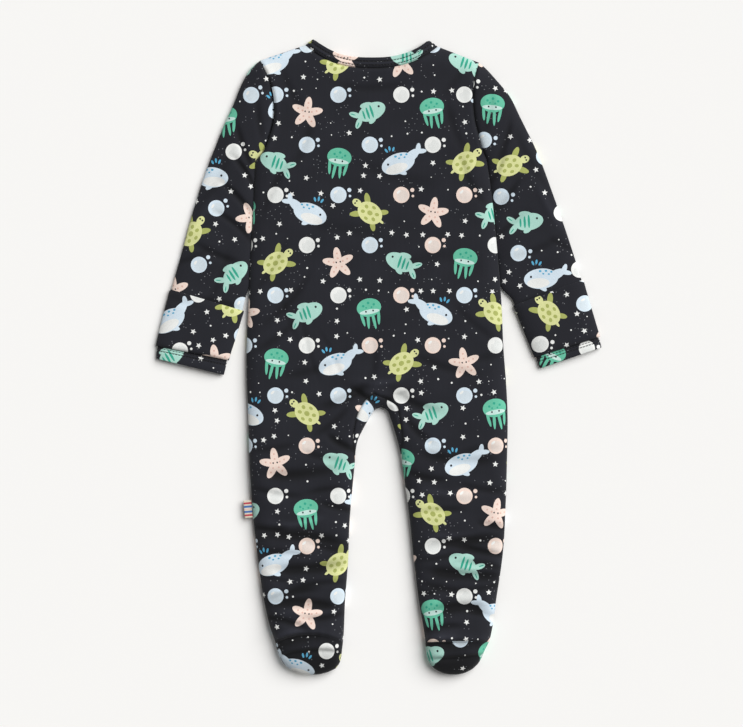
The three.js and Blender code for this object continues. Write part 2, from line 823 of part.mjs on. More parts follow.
// A sleeve's form: a flat tube with a fold along its outer edge and the seam along its inner one.
function makeSleeveForm(half, stations, cuffEnd) {
  const hole = half.armhole.map((p, i) => {
    const [dx, dy] = seamDirection(half.armhole, i);
    const outward = half.isLeft ? [dy, -dx] : [-dy, dx];
    return [p[0] + outward[0] * seamGap, p[1] + outward[1] * seamGap];
  });
  const start = { outer: hole[0], inner: hole[hole.length - 1] };
  const rows = stations.map((row) => ({
    outer: [row.outerX, row.outerY],
    inner: [row.innerX, row.innerY],
    bow: row.bow,
    tuck: row.tuck,
  }));
  const { outer, inner } = cuffEnd;
  const shares = acrossShares(hypot(outer[0] - inner[0], outer[1] - inner[1]));
  const rowAt = (row) => {
    const { bow = 0, tuck = 0 } = row;
    return shares.map((share, i) => {
      const [x, y] = mixPoint(row.outer, row.inner, share);
      const [fromX, fromY] = mixPoint(start.outer, start.inner, share);
      const held = row === start ? 1 : bow * (1 - share ** 2);
      const aside = tuck * tuckPeak * share ** 8 * (1 - share);
      return [x + (hole[i][0] - fromX) * held + aside, y + (hole[i][1] - fromY) * held];
    });
  };
  const first = rowAt(start);
  for (const [i, p] of first.entries()) p.along = seamDirection(hole, i);
  const grid = [first, ...rows.map((row) => rowAt(row))];
  const outerLine = [start.outer, ...rows.map((row) => row.outer), outer];
  const innerLine = [start.inner, ...rows.map((row) => row.inner), inner];
  const lines = half.isLeft
    ? [outerLine, [...innerLine].reverse()]
    : [[...outerLine].reverse(), innerLine];
  const heights = (p) => {
    const near = nearestOn(half.armhole, p);
    const chest = readAt(chestShare, "share", hypot(p[0] - near[0], p[1] - near[1]));
    const at = body.heights(p);
    return { top: mix(sleeveBulk.top, at.top, chest), seam: mix(sleeveBulk.seam, at.seam, chest) };
  };
  return { form: { creased: false, outlines: lines.map(outline), heights }, grid, rows, rowAt };
}

// The point of a line of points that lies nearest to a place.
function nearestOn(line, p) {
  let best = { distance: Infinity, near: line[0] };
  for (let i = 0; i < line.length - 1; i += 1) {
    const step = [line[i + 1][0] - line[i][0], line[i + 1][1] - line[i][1]];
    const along = (p[0] - line[i][0]) * step[0] + (p[1] - line[i][1]) * step[1];
    const near = mixPoint(line[i], line[i + 1], clamp(along / (step[0] ** 2 + step[1] ** 2)));
    const distance = hypot(p[0] - near[0], p[1] - near[1]);
    if (distance < best.distance) best = { distance, near };
  }
  return best.near;
}

// Shares across a sleeve, one for each point of the armhole.
function acrossShares(width) {
  const zone = roundOver / width;
  const near = sleeveEdgeShares.map((t) => t * zone);
  const middle = steps(armholeSteps - 2 * near.length).map((t) => mix(zone, 1 - zone, t));
  return [...near, ...middle, ...near.map((share) => 1 - share).reverse()];
}

// A tube of cloth from a grid: the same plan points above and underneath, joined along both edges.
function tube(name, color, form, grid) {
  const options = { seamShare: 0 };
  return piece(name, color, [patch(form, grid, true, options), patch(form, grid, false, options)]);
}

// The sleeve, its cuff, and the mitten flap that lies over the back of the sleeve above the cuff.
function makeArm(half, stations, cuffEnd) {
  const ending = half.isLeft ? "left" : "right";
  const { form, grid, rows, rowAt } = makeSleeveForm(half, stations, cuffEnd);
  const seam = rows[rows.length - 1];
  const length = hypot(cuffEnd.outer[0] - seam.outer[0], cuffEnd.outer[1] - seam.outer[1]);
  const cuffGrid = [seamGap / length, 0.5, 1].map((share) =>
    rowAt({
      outer: mixPoint(seam.outer, cuffEnd.outer, share),
      inner: mixPoint(seam.inner, cuffEnd.inner, share),
    }),
  );
  const flap = { faces: [seamGap + wall, seamGap], seamShare: 0 };
  return [
    tube(`sleeve_${ending}`, 0x26272d, form, grid),
    tube(`cuff_${ending}`, 0x202127, form, cuffGrid),
    piece(`mitten_${ending}`, 0x2b2c33, [patch(form, grid.slice(mittenStation), true, flap)]),
  ];
}

// The folded tape at the side seam of the left leg.
function makeSideTab() {
  const size = { reach: 7.6, width: 16.5, thick: 1.6 };
  const place = { x: -118.6, y: 158, turn: 5 };
  const shape = new THREE.Shape();
  shape.moveTo(0, -size.thick / 2);
  shape.lineTo(0, size.thick / 2);
  shape.lineTo(size.thick / 2 - size.reach, size.thick / 2);
  shape.absarc(size.thick / 2 - size.reach, 0, size.thick / 2, PI / 2, (3 * PI) / 2, false);
  shape.lineTo(0, -size.thick / 2);
  const options = { depth: size.width, bevelEnabled: false, curveSegments: 6 };
  const geometry = new THREE.ExtrudeGeometry(shape, options);
  geometry.rotateX(PI / 2);
  geometry.translate(0, size.width / 2, 0);
  geometry.deleteAttribute("normal");
  geometry.deleteAttribute("uv");
  geometry.computeVertexNormals();
  const material = new THREE.MeshStandardMaterial({ color: 0xc9b59a, roughness: 0.8, metalness: 0 });
  const mesh = new THREE.Mesh(geometry, material);
  mesh.name = "side_tab";
  mesh.rotation.z = THREE.MathUtils.degToRad(place.turn);
  mesh.position.set(place.x, place.y, readAt(bulk, "seam", place.y));
  return mesh;
}

const suit = new THREE.Group();
suit.add(
  makeBack(),
  makeFront(left),
  makeFront(right),
  makeGusset(),
  makeNeckBand(),
  ...makeArm(left, leftSleeve, leftCuffEnd),
  ...makeArm(right, rightSleeve, rightCuffEnd),
  makeSole(left),
  makeSole(right),
  makeSideTab(),
);

// The origin goes to the middle of the underside.
const bounds = new THREE.Box3().setFromObject(suit);
suit.position.set(-(bounds.min.x + bounds.max.x) / 2, -(bounds.min.y + bounds.max.y) / 2, -bounds.min.z);

export default suit;
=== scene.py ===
"""A baby's footed sleepsuit in printed jersey, lying flat on its front with its back uppermost."""

import bmesh
import bpy
import numpy as np
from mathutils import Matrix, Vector


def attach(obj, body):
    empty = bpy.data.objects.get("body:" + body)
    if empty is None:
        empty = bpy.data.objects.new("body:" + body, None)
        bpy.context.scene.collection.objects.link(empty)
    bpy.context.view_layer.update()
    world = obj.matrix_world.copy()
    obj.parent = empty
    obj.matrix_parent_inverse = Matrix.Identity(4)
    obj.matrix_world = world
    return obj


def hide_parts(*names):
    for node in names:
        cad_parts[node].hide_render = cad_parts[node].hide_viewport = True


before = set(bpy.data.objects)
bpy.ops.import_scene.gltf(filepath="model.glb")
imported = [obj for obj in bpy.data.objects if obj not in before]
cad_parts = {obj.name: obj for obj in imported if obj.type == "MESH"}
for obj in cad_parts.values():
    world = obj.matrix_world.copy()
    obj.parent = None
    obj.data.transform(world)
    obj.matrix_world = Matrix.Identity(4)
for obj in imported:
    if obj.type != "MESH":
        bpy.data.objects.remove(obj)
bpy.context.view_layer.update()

# The pattern is measured in millimetres: x from the middle of the chest towards the wearer's right,
# y up from the end of the feet and z up from the table. PATTERN_ORIGIN is the frame's origin on it.
MM = 0.001
PATTERN_ORIGIN = np.array([0.26, 300.85, 0.0])

# Cloth, seams and made-up edges. Two cloths meet a hair apart at a seam.
JERSEY, BAND_WALL, CUFF_WALL = 1.1, 2.0, 1.2
LAYER_GAP = 0.3
SEAM_GAP, GUSSET_GAP = 0.04, 0.05
BAND_WIDTH = 10.0
FRONT_NECK_DROP = 48.0
BACK_NECK_SQUARENESS, FRONT_NECK_SQUARENESS = 2.6, 2.2

# The lap of the two fronts: half its width, where it starts above the gusset and how it widens,
# and how far the right front is raised over the left one.
LAP_HALF, LAP_START, LAP_WIDENING = 10.0, 20.0, 70.0
LAP_LIFT = BAND_WALL + LAYER_GAP
LAP_RAMP, LAP_CLEAR, LIFT_START = 14.0, 2.0, 18.0

# How far in from an outline the cloth rounds over, above and underneath.
ROUND_OVER, ROUND_UNDER = 15.0, 6.0
DEEPEST_UNDER = 1.0

# Steps of the grids: in a rounded edge, across a panel and a sleeve, with the widths that these are
# spaced for, and from row to row, which are closer together beside a seam. Distances from a line are
# worked out for a block of places at a time.
EDGE_STEPS = 11
BODY_STEPS, BODY_STRIP = 38, 105.0
SLEEVE_STEPS, SLEEVE_STRIP = 26, 80.0
ROW_GAP, SOLE_ROW_GAP, YOKE_LENGTH = 1.8, 0.9, 90.0
NEAR_SEAM = np.array([0, 0.3, 0.65, 1.05, 1.5, 2.05, 2.75, 3.6, 4.7, 6.1])
NEAREST_BLOCK = 3000

# Height of the top cloth and of the side seam above the table, up the garment: y, top, seam.
BULK = np.array([
    [0, 17, 6.5], [40, 16, 6], [75, 13, 5], [200, 12.5, 4.8], [265, 11, 4.3],
    [330, 9.6, 3.8], [480, 9, 3.6], [560, 8.6, 3.4], [600, 8, 3.2],
])
SLEEVE_BULK = {"top": 6.4, "seam": 2.8}

# How much of the chest's bulk a sleeve keeps at a distance from its armhole.
CHEST_SHARE = np.array([[0, 1], [20, 0.62], [45, 0.2], [70, 0]])

# The outer sides, from the underarm to the end of the foot.
LEFT_SIDE = np.array([
    [-115.7, 484.2], [-116.6, 462.7], [-118.3, 428.9], [-120.1, 395.2], [-122.2, 349.2],
    [-123.8, 310.8], [-123.8, 280.8], [-122.4, 250], [-121.3, 205.8], [-118.5, 160.8],
    [-113.8, 115.8], [-107.2, 70.8], [-101.6, 47], [-96.9, 33.3],
    [-95.1, 25.8], [-92.2, 18.3], [-89, 13.2], [-84, 8.5],
])
RIGHT_SIDE = np.array([
    [101.8, 485.2], [105.6, 459.8], [110.3, 414.8], [113.1, 383.9], [115.4, 353.9],
    [117.8, 303.3], [119.6, 280.8], [121.2, 250], [120.6, 198.3], [119.6, 164.5],
    [116.8, 115.8], [110.3, 70.8], [107, 47], [103.7, 33.3],
    [99.9, 25.8], [96.7, 18.3], [93.8, 13.2], [89, 8.5],
])

# The inner side of each leg, from the end of the gusset to the end of the foot.
LEFT_INNER = np.array([
    [-21.9, 203.9], [-24.7, 173.9], [-26.9, 148], [-28.5, 108.3], [-31.3, 70.8], [-33.2, 33.3],
    [-34.1, 25.8], [-35.1, 18.3], [-36.5, 13.2], [-40, 8.5],
])
RIGHT_INNER = np.array([
    [21.7, 203.9], [25.9, 173.9], [28.9, 152], [33.4, 108.3], [38.1, 70.8], [44, 33.3],
    [44.6, 25.8], [45.8, 18.3], [48, 13.2], [52, 8.5],
])

# The heel's seam and the end of the foot, and how far the rows between a leg's two sides bow up the
# garment: at the foot's end, at the toe's seam and at each heel, from where on and how squarely.
HEEL_Y, FOOT_END_Y = 33.3, 8.5
FOOT_END_BOW, TOE_BOW = -6.0, 34.0
LEFT_HEEL_BOW, RIGHT_HEEL_BOW = 8.0, 1.5
BOW_START, BOW_POWER, BOW_SQUARENESS = 112.0, 1.3, 2.2

# The crotch: its folded edge from the top down each leg, and the turn of the cloth at the gusset's seam.
CROTCH_TOP = np.array([2.4, 253.6])
SEAM_TOP = np.array([-4.1, 265.8])
LEFT_ARCH = np.array([
    [-4.1, 250.2, 80], [-9.7, 241.4, 76], [-14.9, 232, 64], [-19.1, 223, 48], [-21.2, 213.6, 28],
    [-21.9, 203.9, 6],
])
RIGHT_ARCH = np.array([
    [8.6, 249.8, 68], [11.9, 241.6, 62], [14.8, 232.3, 55], [17.7, 222.7, 45], [20.2, 212.5, 26],
    [21.7, 203.9, 6],
])
HIP = {"y": 258.0, "lean": 0.4, "top": 268.0}

# Neck and shoulders.
LEFT_NECK, RIGHT_NECK = np.array([-68.8, 593.4]), np.array([55.9, 592.0])
LEFT_TIP, RIGHT_TIP = np.array([-61.3, 599.2]), np.array([47.4, 597.9])
NECK_MIDDLE = np.array([-6.5, 571.5])

# The armhole seams, from the shoulder to the underarm.
LEFT_ARMHOLE = np.array([
    [-111, 578.9], [-103.5, 563], [-98.8, 547], [-97.9, 524.5], [-103.2, 503.9], [-108.4, 492],
    [-115.7, 484.2],
])
RIGHT_ARMHOLE = np.array([
    [94.3, 577], [89.8, 561.1], [88.7, 545.2], [90.4, 522.7], [94.6, 506], [98, 493.5],
    [101.8, 485.2],
])

# Stations down the sleeves: the folded outer edge, the inner edge and how far a row there keeps the
# armhole's bow. The inner edge starts at one of the armhole's points, the turn, and follows it to the
# underarm. The others are the stations of the underarm, of the mitten's hem and of the cuff's seam.
HOLE_TURN, UNDERARM_STATION, MITTEN_STATION, CUFF_STATION = 4, 2, 10, 12
LEFT_SLEEVE = np.array([
    [-111, 578.9, -103.2, 503.9, 1],
    [-114.6, 576.1, -108.4, 492, 0.78],
    [-117.1, 574, -115.7, 484.2, 0.6],
    [-119.4, 571.9, -116.9, 478.4, 0.47],
    [-127.9, 557.8, -117.8, 462, 0.2],
    [-136, 538, -118.7, 447, 0.06],
    [-145.7, 516.1, -119.7, 428.9, 0],
    [-161.6, 475.8, -121.2, 404.5, 0],
    [-173.8, 438.3, -122.7, 381.1, 0],
    [-184.1, 400.8, -124.4, 361.4, 0],
    [-194.4, 363.8, -127.8, 344.1, 0],
    [-201.9, 335.2, -134.9, 320.2, 0],
    [-207.6, 310.8, -141.9, 297.7, 0],
    [-208.7, 299, -145.2, 283.6, 0],
])
RIGHT_SLEEVE = np.array([
    [94.3, 577, 94.6, 506, 1],
    [96.9, 574.9, 98, 493.5, 0.78],
    [99, 573.1, 101.8, 485.2, 0.6],
    [100.9, 571.4, 103.4, 478.8, 0.47],
    [111.5, 559.8, 106, 464, 0.2],
    [123.4, 545.2, 108.6, 448, 0.06],
    [132.8, 526.4, 110.4, 430.8, 0],
    [149.6, 491.7, 112.6, 408.3, 0],
    [163.7, 454.2, 114.8, 385.8, 0],
    [177.8, 413.9, 120.1, 367, 0],
    [190.9, 372.7, 128.1, 349.2, 0],
    [199.3, 344.5, 137.9, 324.8, 0],
    [206.8, 319.2, 147.8, 300.5, 0],
    [209.6, 309.4, 151.8, 289.8, 0],
])

# Creases in the back and legs, as soft troughs: x, y, turn from the x axis in degrees, half length,
# half breadth, depth and how far the ends bend up. A depth below nought is a ridge.
BODY_CREASES = np.array([
    [-76, 190, 4, 34, 5, 1.3, 3], [-70, 132, -6, 36, 4.6, 1.7, -3], [-66, 102, 5, 34, 4.6, 1.8, 2],
    [-72, 70, -3, 32, 4.6, 1.9, -3], [72, 204, -5, 34, 5, 1.3, 3], [76, 128, 6, 36, 4.6, 1.6, -2],
    [80, 96, -4, 34, 4.6, 1.8, 2], [74, 66, 4, 30, 4.6, 1.9, -3],
    [-30, 262, 28, 24, 4, 1.3, 3], [34, 256, -24, 24, 4, 1.2, 3],
    [-38, 159, -12, 16, 2.8, 1.2, 1], [-104, 139, -5, 15, 2.8, 1.5, 2], [-74, 144, 9, 20, 3, -0.9, 2],
    [-91, 117, -4, 22, 2.6, 1, -1], [-48, 121, -12, 17, 2.4, 0.9, 1], [-84, 79, 14, 24, 2.8, 1.3, -2],
    [-58, 88, 8, 26, 2.6, 0.9, -2], [-97, 92, -12, 12, 2.2, 0.8, 1], [-87, 53, -15, 22, 2.8, 1.5, -2],
    [-50, 56, 10, 18, 2.6, 1.1, 2], [-54, 206, -14, 20, 3.2, 0.8, 2], [-98, 214, 10, 18, 3, 0.7, 1],
    [-96, 172, -10, 22, 2.8, 0.9, 2], [-50, 176, 8, 18, 2.6, 0.8, -1], [-60, 62, 3, 24, 3, -0.8, 2],
    [109, 142, -6, 15, 2.8, 1.5, 1], [98, 118, -11, 27, 2.8, 1.5, 1], [96, 106, -8, 23, 2.6, 1.1, -1],
    [43, 79, 0, 10, 2.4, 1.1, 1], [98, 60, -10, 16, 2.8, 1.4, 1], [44, 187, -12, 18, 3, 1.2, 2],
    [57, 157, 4, 20, 2.8, 1, -1], [58, 112, 10, 20, 2.6, 0.9, 1], [66, 82, -8, 24, 2.8, 1, 2],
    [60, 48, 8, 18, 2.6, 1.2, -2], [98, 176, -8, 22, 3, 0.9, 2], [70, 132, 3, 24, 3.2, -0.8, 2],
    [100, 84, 10, 14, 2.4, 0.8, 1], [96, 214, 6, 20, 3.4, 0.7, -2], [64, 172, -4, 24, 3.4, -0.7, 2],
    [-34, 218, -27, 16, 3, 1.5, 2], [-14, 264, -28, 14, 2.6, 1.7, 1], [-44, 238, 40, 20, 3, 0.8, 2],
    [36, 230, -44, 18, 3, 1, 2], [16, 263, 20, 13, 2.6, 1.3, 1], [2, 276, 4, 22, 3.4, -0.7, 3],
    [-4, 296, 86, 22, 4, 0.5, 2], [-60, 288, 18, 30, 4, 0.7, 3], [62, 290, -16, 30, 4, 0.7, 3],
    [-67, 312, -76, 36, 1.5, 0.42, 3], [-42, 300, -66, 26, 1.5, 0.4, -2], [-84, 334, -70, 26, 1.6, 0.35, 2],
    [-96, 318, 36, 26, 3.6, 0.7, 2], [-84, 352, 48, 30, 3.4, 0.7, 3], [-100, 384, 58, 26, 3.2, 0.6, 2],
    [90, 330, -40, 26, 3.6, 0.5, 2], [102, 300, 12, 20, 3.4, 0.5, 2], [-98, 462, 62, 26, 3.6, 0.8, -3],
    [84, 466, -64, 24, 3.4, 0.7, 3], [-70, 500, 70, 22, 4, 0.5, 2], [70, 516, -70, 24, 4, 0.5, 2],
    [-6, 552, 2, 34, 4, 0.5, 4], [-40, 420, -8, 34, 6, 0.4, 3], [44, 392, 10, 36, 6, 0.4, -3],
    [14, 470, -16, 40, 7, 0.4, 3], [-82, 548, -62, 22, 4, 0.5, 2], [72, 560, 58, 20, 4, 0.45, 2],
])

# Creases down each sleeve, in the same form.
LEFT_SLEEVE_CREASES = np.array([
    [-122, 470, -58, 22, 2.6, 1.2, -2], [-128, 446, -48, 26, 2.8, 1.1, -2],
    [-134, 424, -40, 22, 2.6, 0.9, -2],
    [-126, 494, -68, 24, 3, 0.9, 2], [-152, 396, -24, 24, 3.2, 0.8, 2], [-156, 352, -10, 26, 3, 0.8, -2],
    [-178, 392, 20, 16, 2.6, 0.7, 1], [-150, 470, 62, 30, 4.5, 0.5, 2], [-168, 430, 58, 24, 3.4, -0.5, 2],
    [-186, 352, -22, 18, 2.8, 0.7, 1], [-150, 372, 66, 24, 3.4, 0.5, 2], [-112, 520, -80, 20, 3.2, 0.6, 2],
])
RIGHT_SLEEVE_CREASES = np.array([
    [108, 470, 58, 22, 2.6, 1.1, 2], [116, 446, 48, 24, 2.8, 1, 2], [122, 424, 40, 22, 2.6, 0.8, -2],
    [118, 500, 70, 22, 3, 0.8, 2], [146, 400, 24, 24, 3.2, 0.7, 2], [152, 356, 14, 24, 3, 0.8, -2],
    [176, 404, -20, 16, 2.6, 0.7, 1], [140, 486, -62, 26, 4.5, 0.5, 2], [160, 440, -60, 24, 3.4, -0.5, 2],
    [186, 366, 24, 16, 2.8, 0.6, 1], [104, 530, 78, 20, 3.2, 0.5, 2],
])

# How deep the creases are drawn, for the depths given above, and the slow swells between them.
CREASE_DEPTH = 1.9
SWELL = 0.3
SLEEVE_SWELL = 0.24

# A seam sinks between its two cloths, which puff up and pucker beside it: each one's depth and breadth.
SEAM_DIP, SEAM_DIP_WIDTH = 1.5, 1.5
SEAM_PUFF, SEAM_PUFF_WIDTH = 0.4, 5.0
PUCKER, PUCKER_WIDTH = 0.3, 6.0

# The leg's cloth puffs up above the heel's seam, and the sole drops away below it to a second fold,
# with a ridge before it. All of them end this far past the foot's sides.
HEEL_PUFF = {"above": 4.2, "depth": 1.6, "breadth": 3.2}
HEEL_DROP = {"over": 3.4, "depth": 0.6, "slope": 0.08}
HEEL_FOLD = {"edge": 1.7, "depth": 3.4, "breadth": 4.6}
SOLE_FOLD = {"below": 16.5, "bulge": 2.5, "lean": 5.0, "depth": 2.6, "breadth": 2.2}
SOLE_RIDGE = {"above": 4.5, "depth": 0.8, "breadth": 3.0}
HEEL_REACH = 8

# A sleeve lies against the body down to a height, and leaves it over the next few millimetres. The
# hair's breadth between the two grows over a distance below the underarm.
SLEEVE_LEAVES, SLEEVE_PARTING = 354.0, 16.0
SLEEVE_TOUCH, TOUCH_GROWTH = 0.35, 30.0


def smooth(at, xs, ys):
    """A line through the points xs, ys: cubic steps, each leaving a point with its neighbours' slope."""
    if xs[0] > xs[-1]:
        xs, ys = xs[::-1], ys[::-1]
    at = np.asarray(at, float)
    slopes = np.gradient(ys, xs, axis=0)
    i = np.clip(np.searchsorted(xs, at) - 1, 0, len(xs) - 2)
    step = xs[i + 1] - xs[i]
    t = np.clip((at - xs[i]) / step, 0, 1)
    if ys.ndim > 1:
        step, t = step[..., None], t[..., None]
    rise = ys[i + 1] - ys[i]
    first, last = step * slopes[i], step * slopes[i + 1]
    return ys[i] + t * (first + t * (3 * rise - 2 * first - last + t * (first + last - 2 * rise)))


def mix(a, b, share):
    """A straight step from a to b."""
    return a + (b - a) * share


def ease(share):
    """A cubic step from nought to one, level at both ends."""
    share = np.clip(share, 0, 1)
    return share * share * (3 - 2 * share)


def along_line(line):
    """Distance along a line of points, at each of them."""
    return np.concatenate([[0.0], np.cumsum(np.linalg.norm(np.diff(line, axis=0), axis=-1))])


def curve(points, gap=2.5):
    """A smooth line through points, as points evenly a gap apart."""
    at = along_line(points)
    return smooth(np.linspace(0, at[-1], int(at[-1] / gap) + 2), at, points)


def on_curve(points, shares):
    """Points on a smooth line through points, at shares of its length."""
    at = along_line(points)
    return smooth(np.asarray(shares) * at[-1], at, points)


def leftward(line):
    """The unit direction across a line, on its left-hand side, at each of its points."""
    along = np.gradient(line, axis=0)
    side = np.stack([-along[:, 1], along[:, 0]], 1)
    return side / np.linalg.norm(side, axis=1, keepdims=True)


def nearest(places, line):
    """Where a line passes nearest to each place: the step, the share of the step, and the gap from there."""
    flat = places.reshape(-1, 2)
    start, step = line[:-1], np.diff(line, axis=0)
    length_squared = (step**2).sum(1)
    found = []
    for block in np.array_split(flat, len(flat) // NEAREST_BLOCK + 1):
        gap = block[:, None] - start
        share = np.clip((gap * step).sum(2) / length_squared, 0, 1)
        gap -= share[..., None] * step
        i = (gap**2).sum(2).argmin(1)
        rows = np.arange(len(block))
        found.append(np.column_stack([i, share[rows, i], gap[rows, i]]))
    found = np.concatenate(found).reshape(places.shape[:-1] + (4,))
    return found[..., 0].astype(int), found[..., 1], found[..., 2:]


def quarter(turn, ratio, steps=12):
    """Length of an ellipse from a turn to its level end, for a half width of one and a height of ratio."""
    width = (np.pi / 2 - turn) / steps
    t = turn[..., None] + width[..., None] * (np.arange(steps) + 0.5)
    return np.hypot(np.sin(t), ratio[..., None] * np.cos(t)).sum(-1) * width


def bell(distance, breadth):
    """One in the middle, falling away to nought on both sides over a breadth."""
    return np.exp(-((distance / breadth) ** 2))


class Form:
    """A shape for cloth that lies flat inside outlines, each of which has the cloth on its left.

    Its section is a quarter of an ellipse: upright at an outline, at the seam's height, and level a
    round's width further in, at the top's height above and on the table underneath.
    """

    def __init__(self, outlines, heights, relief):
        self.outlines = outlines
        self.heights = heights
        self.relief = relief

    def edge(self, places):
        """Distance in from the nearest outline, and the direction that leads away from it."""
        best, toward = np.full(places.shape[:-1], np.inf), np.zeros(places.shape)
        for line in self.outlines:
            step, share, gap = nearest(places, line)
            sides = leftward(line)
            side = mix(sides[step], sides[step + 1], share[..., None])
            side /= np.linalg.norm(side, axis=-1, keepdims=True)
            distance = np.linalg.norm(gap, axis=-1)
            past_end = ((step == 0) & (share == 0)) | ((step == len(line) - 2) & (share == 1))
            clear = (distance > 0.05) & (((gap * side).sum(-1) > 0) | past_end)
            away = np.where(clear[..., None], gap / np.maximum(distance, 1e-6)[..., None], side)
            closer = distance < best - 1e-9
            best = np.where(closer, distance, best)
            toward = np.where(closer[..., None], away, toward)
        return best, toward

    def cloth(self, places, is_top, stand=0.0, lift=None):
        """Points of the cloth over places on the plan, moved out by stand, and their places in the cut."""
        distance, away = self.edge(places)
        top, seam = self.heights(places)
        radius = ROUND_OVER if is_top else ROUND_UNDER
        inward = np.minimum(distance, radius)
        turn = np.arccos(1 - inward / radius)
        rise = top - seam if is_top else seam
        up = 1 if is_top else -1
        relief = self.relief(places) * np.sin(turn) ** 1.5
        if not is_top:
            relief = np.clip(relief, 0, DEEPEST_UNDER)
        z = seam + up * rise * np.sin(turn) - up * relief + up * np.sin(turn) * stand
        if lift is not None:
            z = z + lift(places)
        flat = places - away * (np.cos(turn) * stand)[..., None]
        cut = places + away * (radius - inward - radius * quarter(turn, rise / radius))[..., None]
        return np.concatenate([flat, z[..., None]], -1), cut


def troughs(places, creases):
    """Depth of a set of creases: a bell across each one, which fades towards its two ends."""
    depth = np.zeros(places.shape[:-1])
    for x, y, degrees, reach, breadth, deep, bend in creases:
        turn = np.radians(degrees)
        gap = places - (x, y)
        along = gap[..., 0] * np.cos(turn) + gap[..., 1] * np.sin(turn)
        across = gap[..., 1] * np.cos(turn) - gap[..., 0] * np.sin(turn)
        across = across - bend * (along / reach) ** 2
        depth += CREASE_DEPTH * deep * bell(across, breadth) * np.exp(-((along / reach) ** 4))
    return depth


def waves(places, waviness=SWELL):
    """Slow swells of soft cloth: products of sines whose lengths have no common measure.

    They grow stronger down the legs.
    """
    x, y = places[..., 0], places[..., 1]
    swell = np.sin(x / 9.7 + 1.3 * np.sin(y / 23.0)) * np.sin(y / 8.3 + 0.8 * np.sin(x / 17.0))
    finer = np.sin(x / 5.3 + y / 8.9 + 1.1) * np.sin(y / 4.7 - x / 11.3)
    return waviness * (swell + 0.3 * finer) * (0.7 + 0.6 * ease((250 - y) / 150))


def seam_relief(places, seams):
    """How far cloth sinks at the seams that cross or border it, with puckers of uneven length beside them."""
    depth = np.zeros(places.shape[:-1])
    for line in seams:
        step, share, gap = nearest(places, line)
        distance = np.linalg.norm(gap, axis=-1)
        at = along_line(line)[step] + share * np.linalg.norm(np.diff(line, axis=0), axis=1)[step]
        pucker = np.sin(at / 1.9 + 1.7 * np.sin(at / 7.3)) * (0.6 + 0.4 * np.sin(at / 13.7))
        depth += SEAM_DIP * bell(distance, SEAM_DIP_WIDTH)
        depth -= SEAM_PUFF * bell(distance, SEAM_PUFF_WIDTH)
        depth += PUCKER * pucker * bell(distance, PUCKER_WIDTH)
    return depth


def heel_relief(places, lines):
    """How far the foot's cloth sinks.

    It puffs up above the heel's seam, and below it drops, slopes away and sinks again in a bent fold.
    """
    x, y = places[..., 0], places[..., 1]
    depth = np.zeros(x.shape)
    for line in lines:
        line = line[np.argsort(line[:, 0])]
        inside = (x > line[0, 0] - HEEL_REACH) & (x < line[-1, 0] + HEEL_REACH)
        below = np.interp(x, line[:, 0], line[:, 1]) - y
        share = np.clip((x - line[0, 0]) / (line[-1, 0] - line[0, 0]), 0, 1)
        puff = -HEEL_PUFF["depth"] * bell(below + HEEL_PUFF["above"], HEEL_PUFF["breadth"])
        puff *= 0.55 + 0.45 * np.sin(5.1 * share + 0.9)
        drop = HEEL_DROP["depth"] * ease(below / HEEL_DROP["over"])
        drop += HEEL_DROP["slope"] * np.maximum(below, 0)
        crossing = HEEL_FOLD["depth"] * (0.65 + 0.35 * np.sin(4.4 * share + 0.4))
        past = np.maximum(below - HEEL_FOLD["edge"], 0)
        under = crossing * ease(below / HEEL_FOLD["edge"]) * bell(past, HEEL_FOLD["breadth"])
        bend = SOLE_FOLD["below"] + SOLE_FOLD["bulge"] * np.sin(np.pi * share) - SOLE_FOLD["lean"] * share
        fold = SOLE_FOLD["depth"] * bell(below - bend, SOLE_FOLD["breadth"])
        ridge = -SOLE_RIDGE["depth"] * bell(below - bend + SOLE_RIDGE["above"], SOLE_RIDGE["breadth"])
        depth += np.where(inside, puff + drop + under + fold + ridge, 0)
    return depth


def bowed(outer, inner, bow, shares):
    """A row of points from one side to the other, bowed up the garment between them."""
    outer, inner = np.asarray(outer)[..., None, :], np.asarray(inner)[..., None, :]
    row = mix(outer, inner, shares[:, None])
    row[..., 1] += np.asarray(bow)[..., None] * (1 - np.abs(2 * shares - 1) ** BOW_SQUARENESS)
    return row


def across_shares(width, middle_steps):
    """Shares across a strip that is rounded over at both sides, closer together near each edge."""
    zone = min(ROUND_OVER / width, 0.4)
    edge = (1 - np.cos(np.linspace(0, np.pi / 2, EDGE_STEPS + 1))) * zone
    middle = np.linspace(zone, 1 - zone, middle_steps + 1)[1:-1]
    return np.concatenate([edge, middle, 1 - edge[::-1]])


def spread(length, at_start=True, gap=ROW_GAP):
    """Shares of a length, a gap apart and drawn closer together towards its sewn ends."""
    first = NEAR_SEAM if at_start else NEAR_SEAM[:1]
    last = length - NEAR_SEAM[::-1]
    middle = np.linspace(first[-1], last[0], max(int((last[0] - first[-1]) / gap), 1) + 1)[1:-1]
    return np.concatenate([first, middle, last]) / length


BODY_SHARES = across_shares(BODY_STRIP, BODY_STEPS)
SLEEVE_SHARES = across_shares(SLEEVE_STRIP, SLEEVE_STEPS)


def middle_of(y):
    """The middle of the back or of the front at a height."""
    share = (NECK_MIDDLE[1] - y) / (NECK_MIDDLE[1] - SEAM_TOP[1])
    return mix(NECK_MIDDLE[0], SEAM_TOP[0], share)


def lap_reach(y, is_front):
    """Half of the overlap of the two fronts, which narrows to nothing above the gusset. The back has none."""
    return is_front * mix(-SEAM_GAP / 2, LAP_HALF, ease((y - SEAM_TOP[1] - LAP_START) / LAP_WIDENING))


def half_neck(is_front):
    """The share of the neck's width from a shoulder to the edge of half a panel."""
    return 0.5 + lap_reach(NECK_MIDDLE[1], is_front) / (RIGHT_NECK[0] - LEFT_NECK[0])


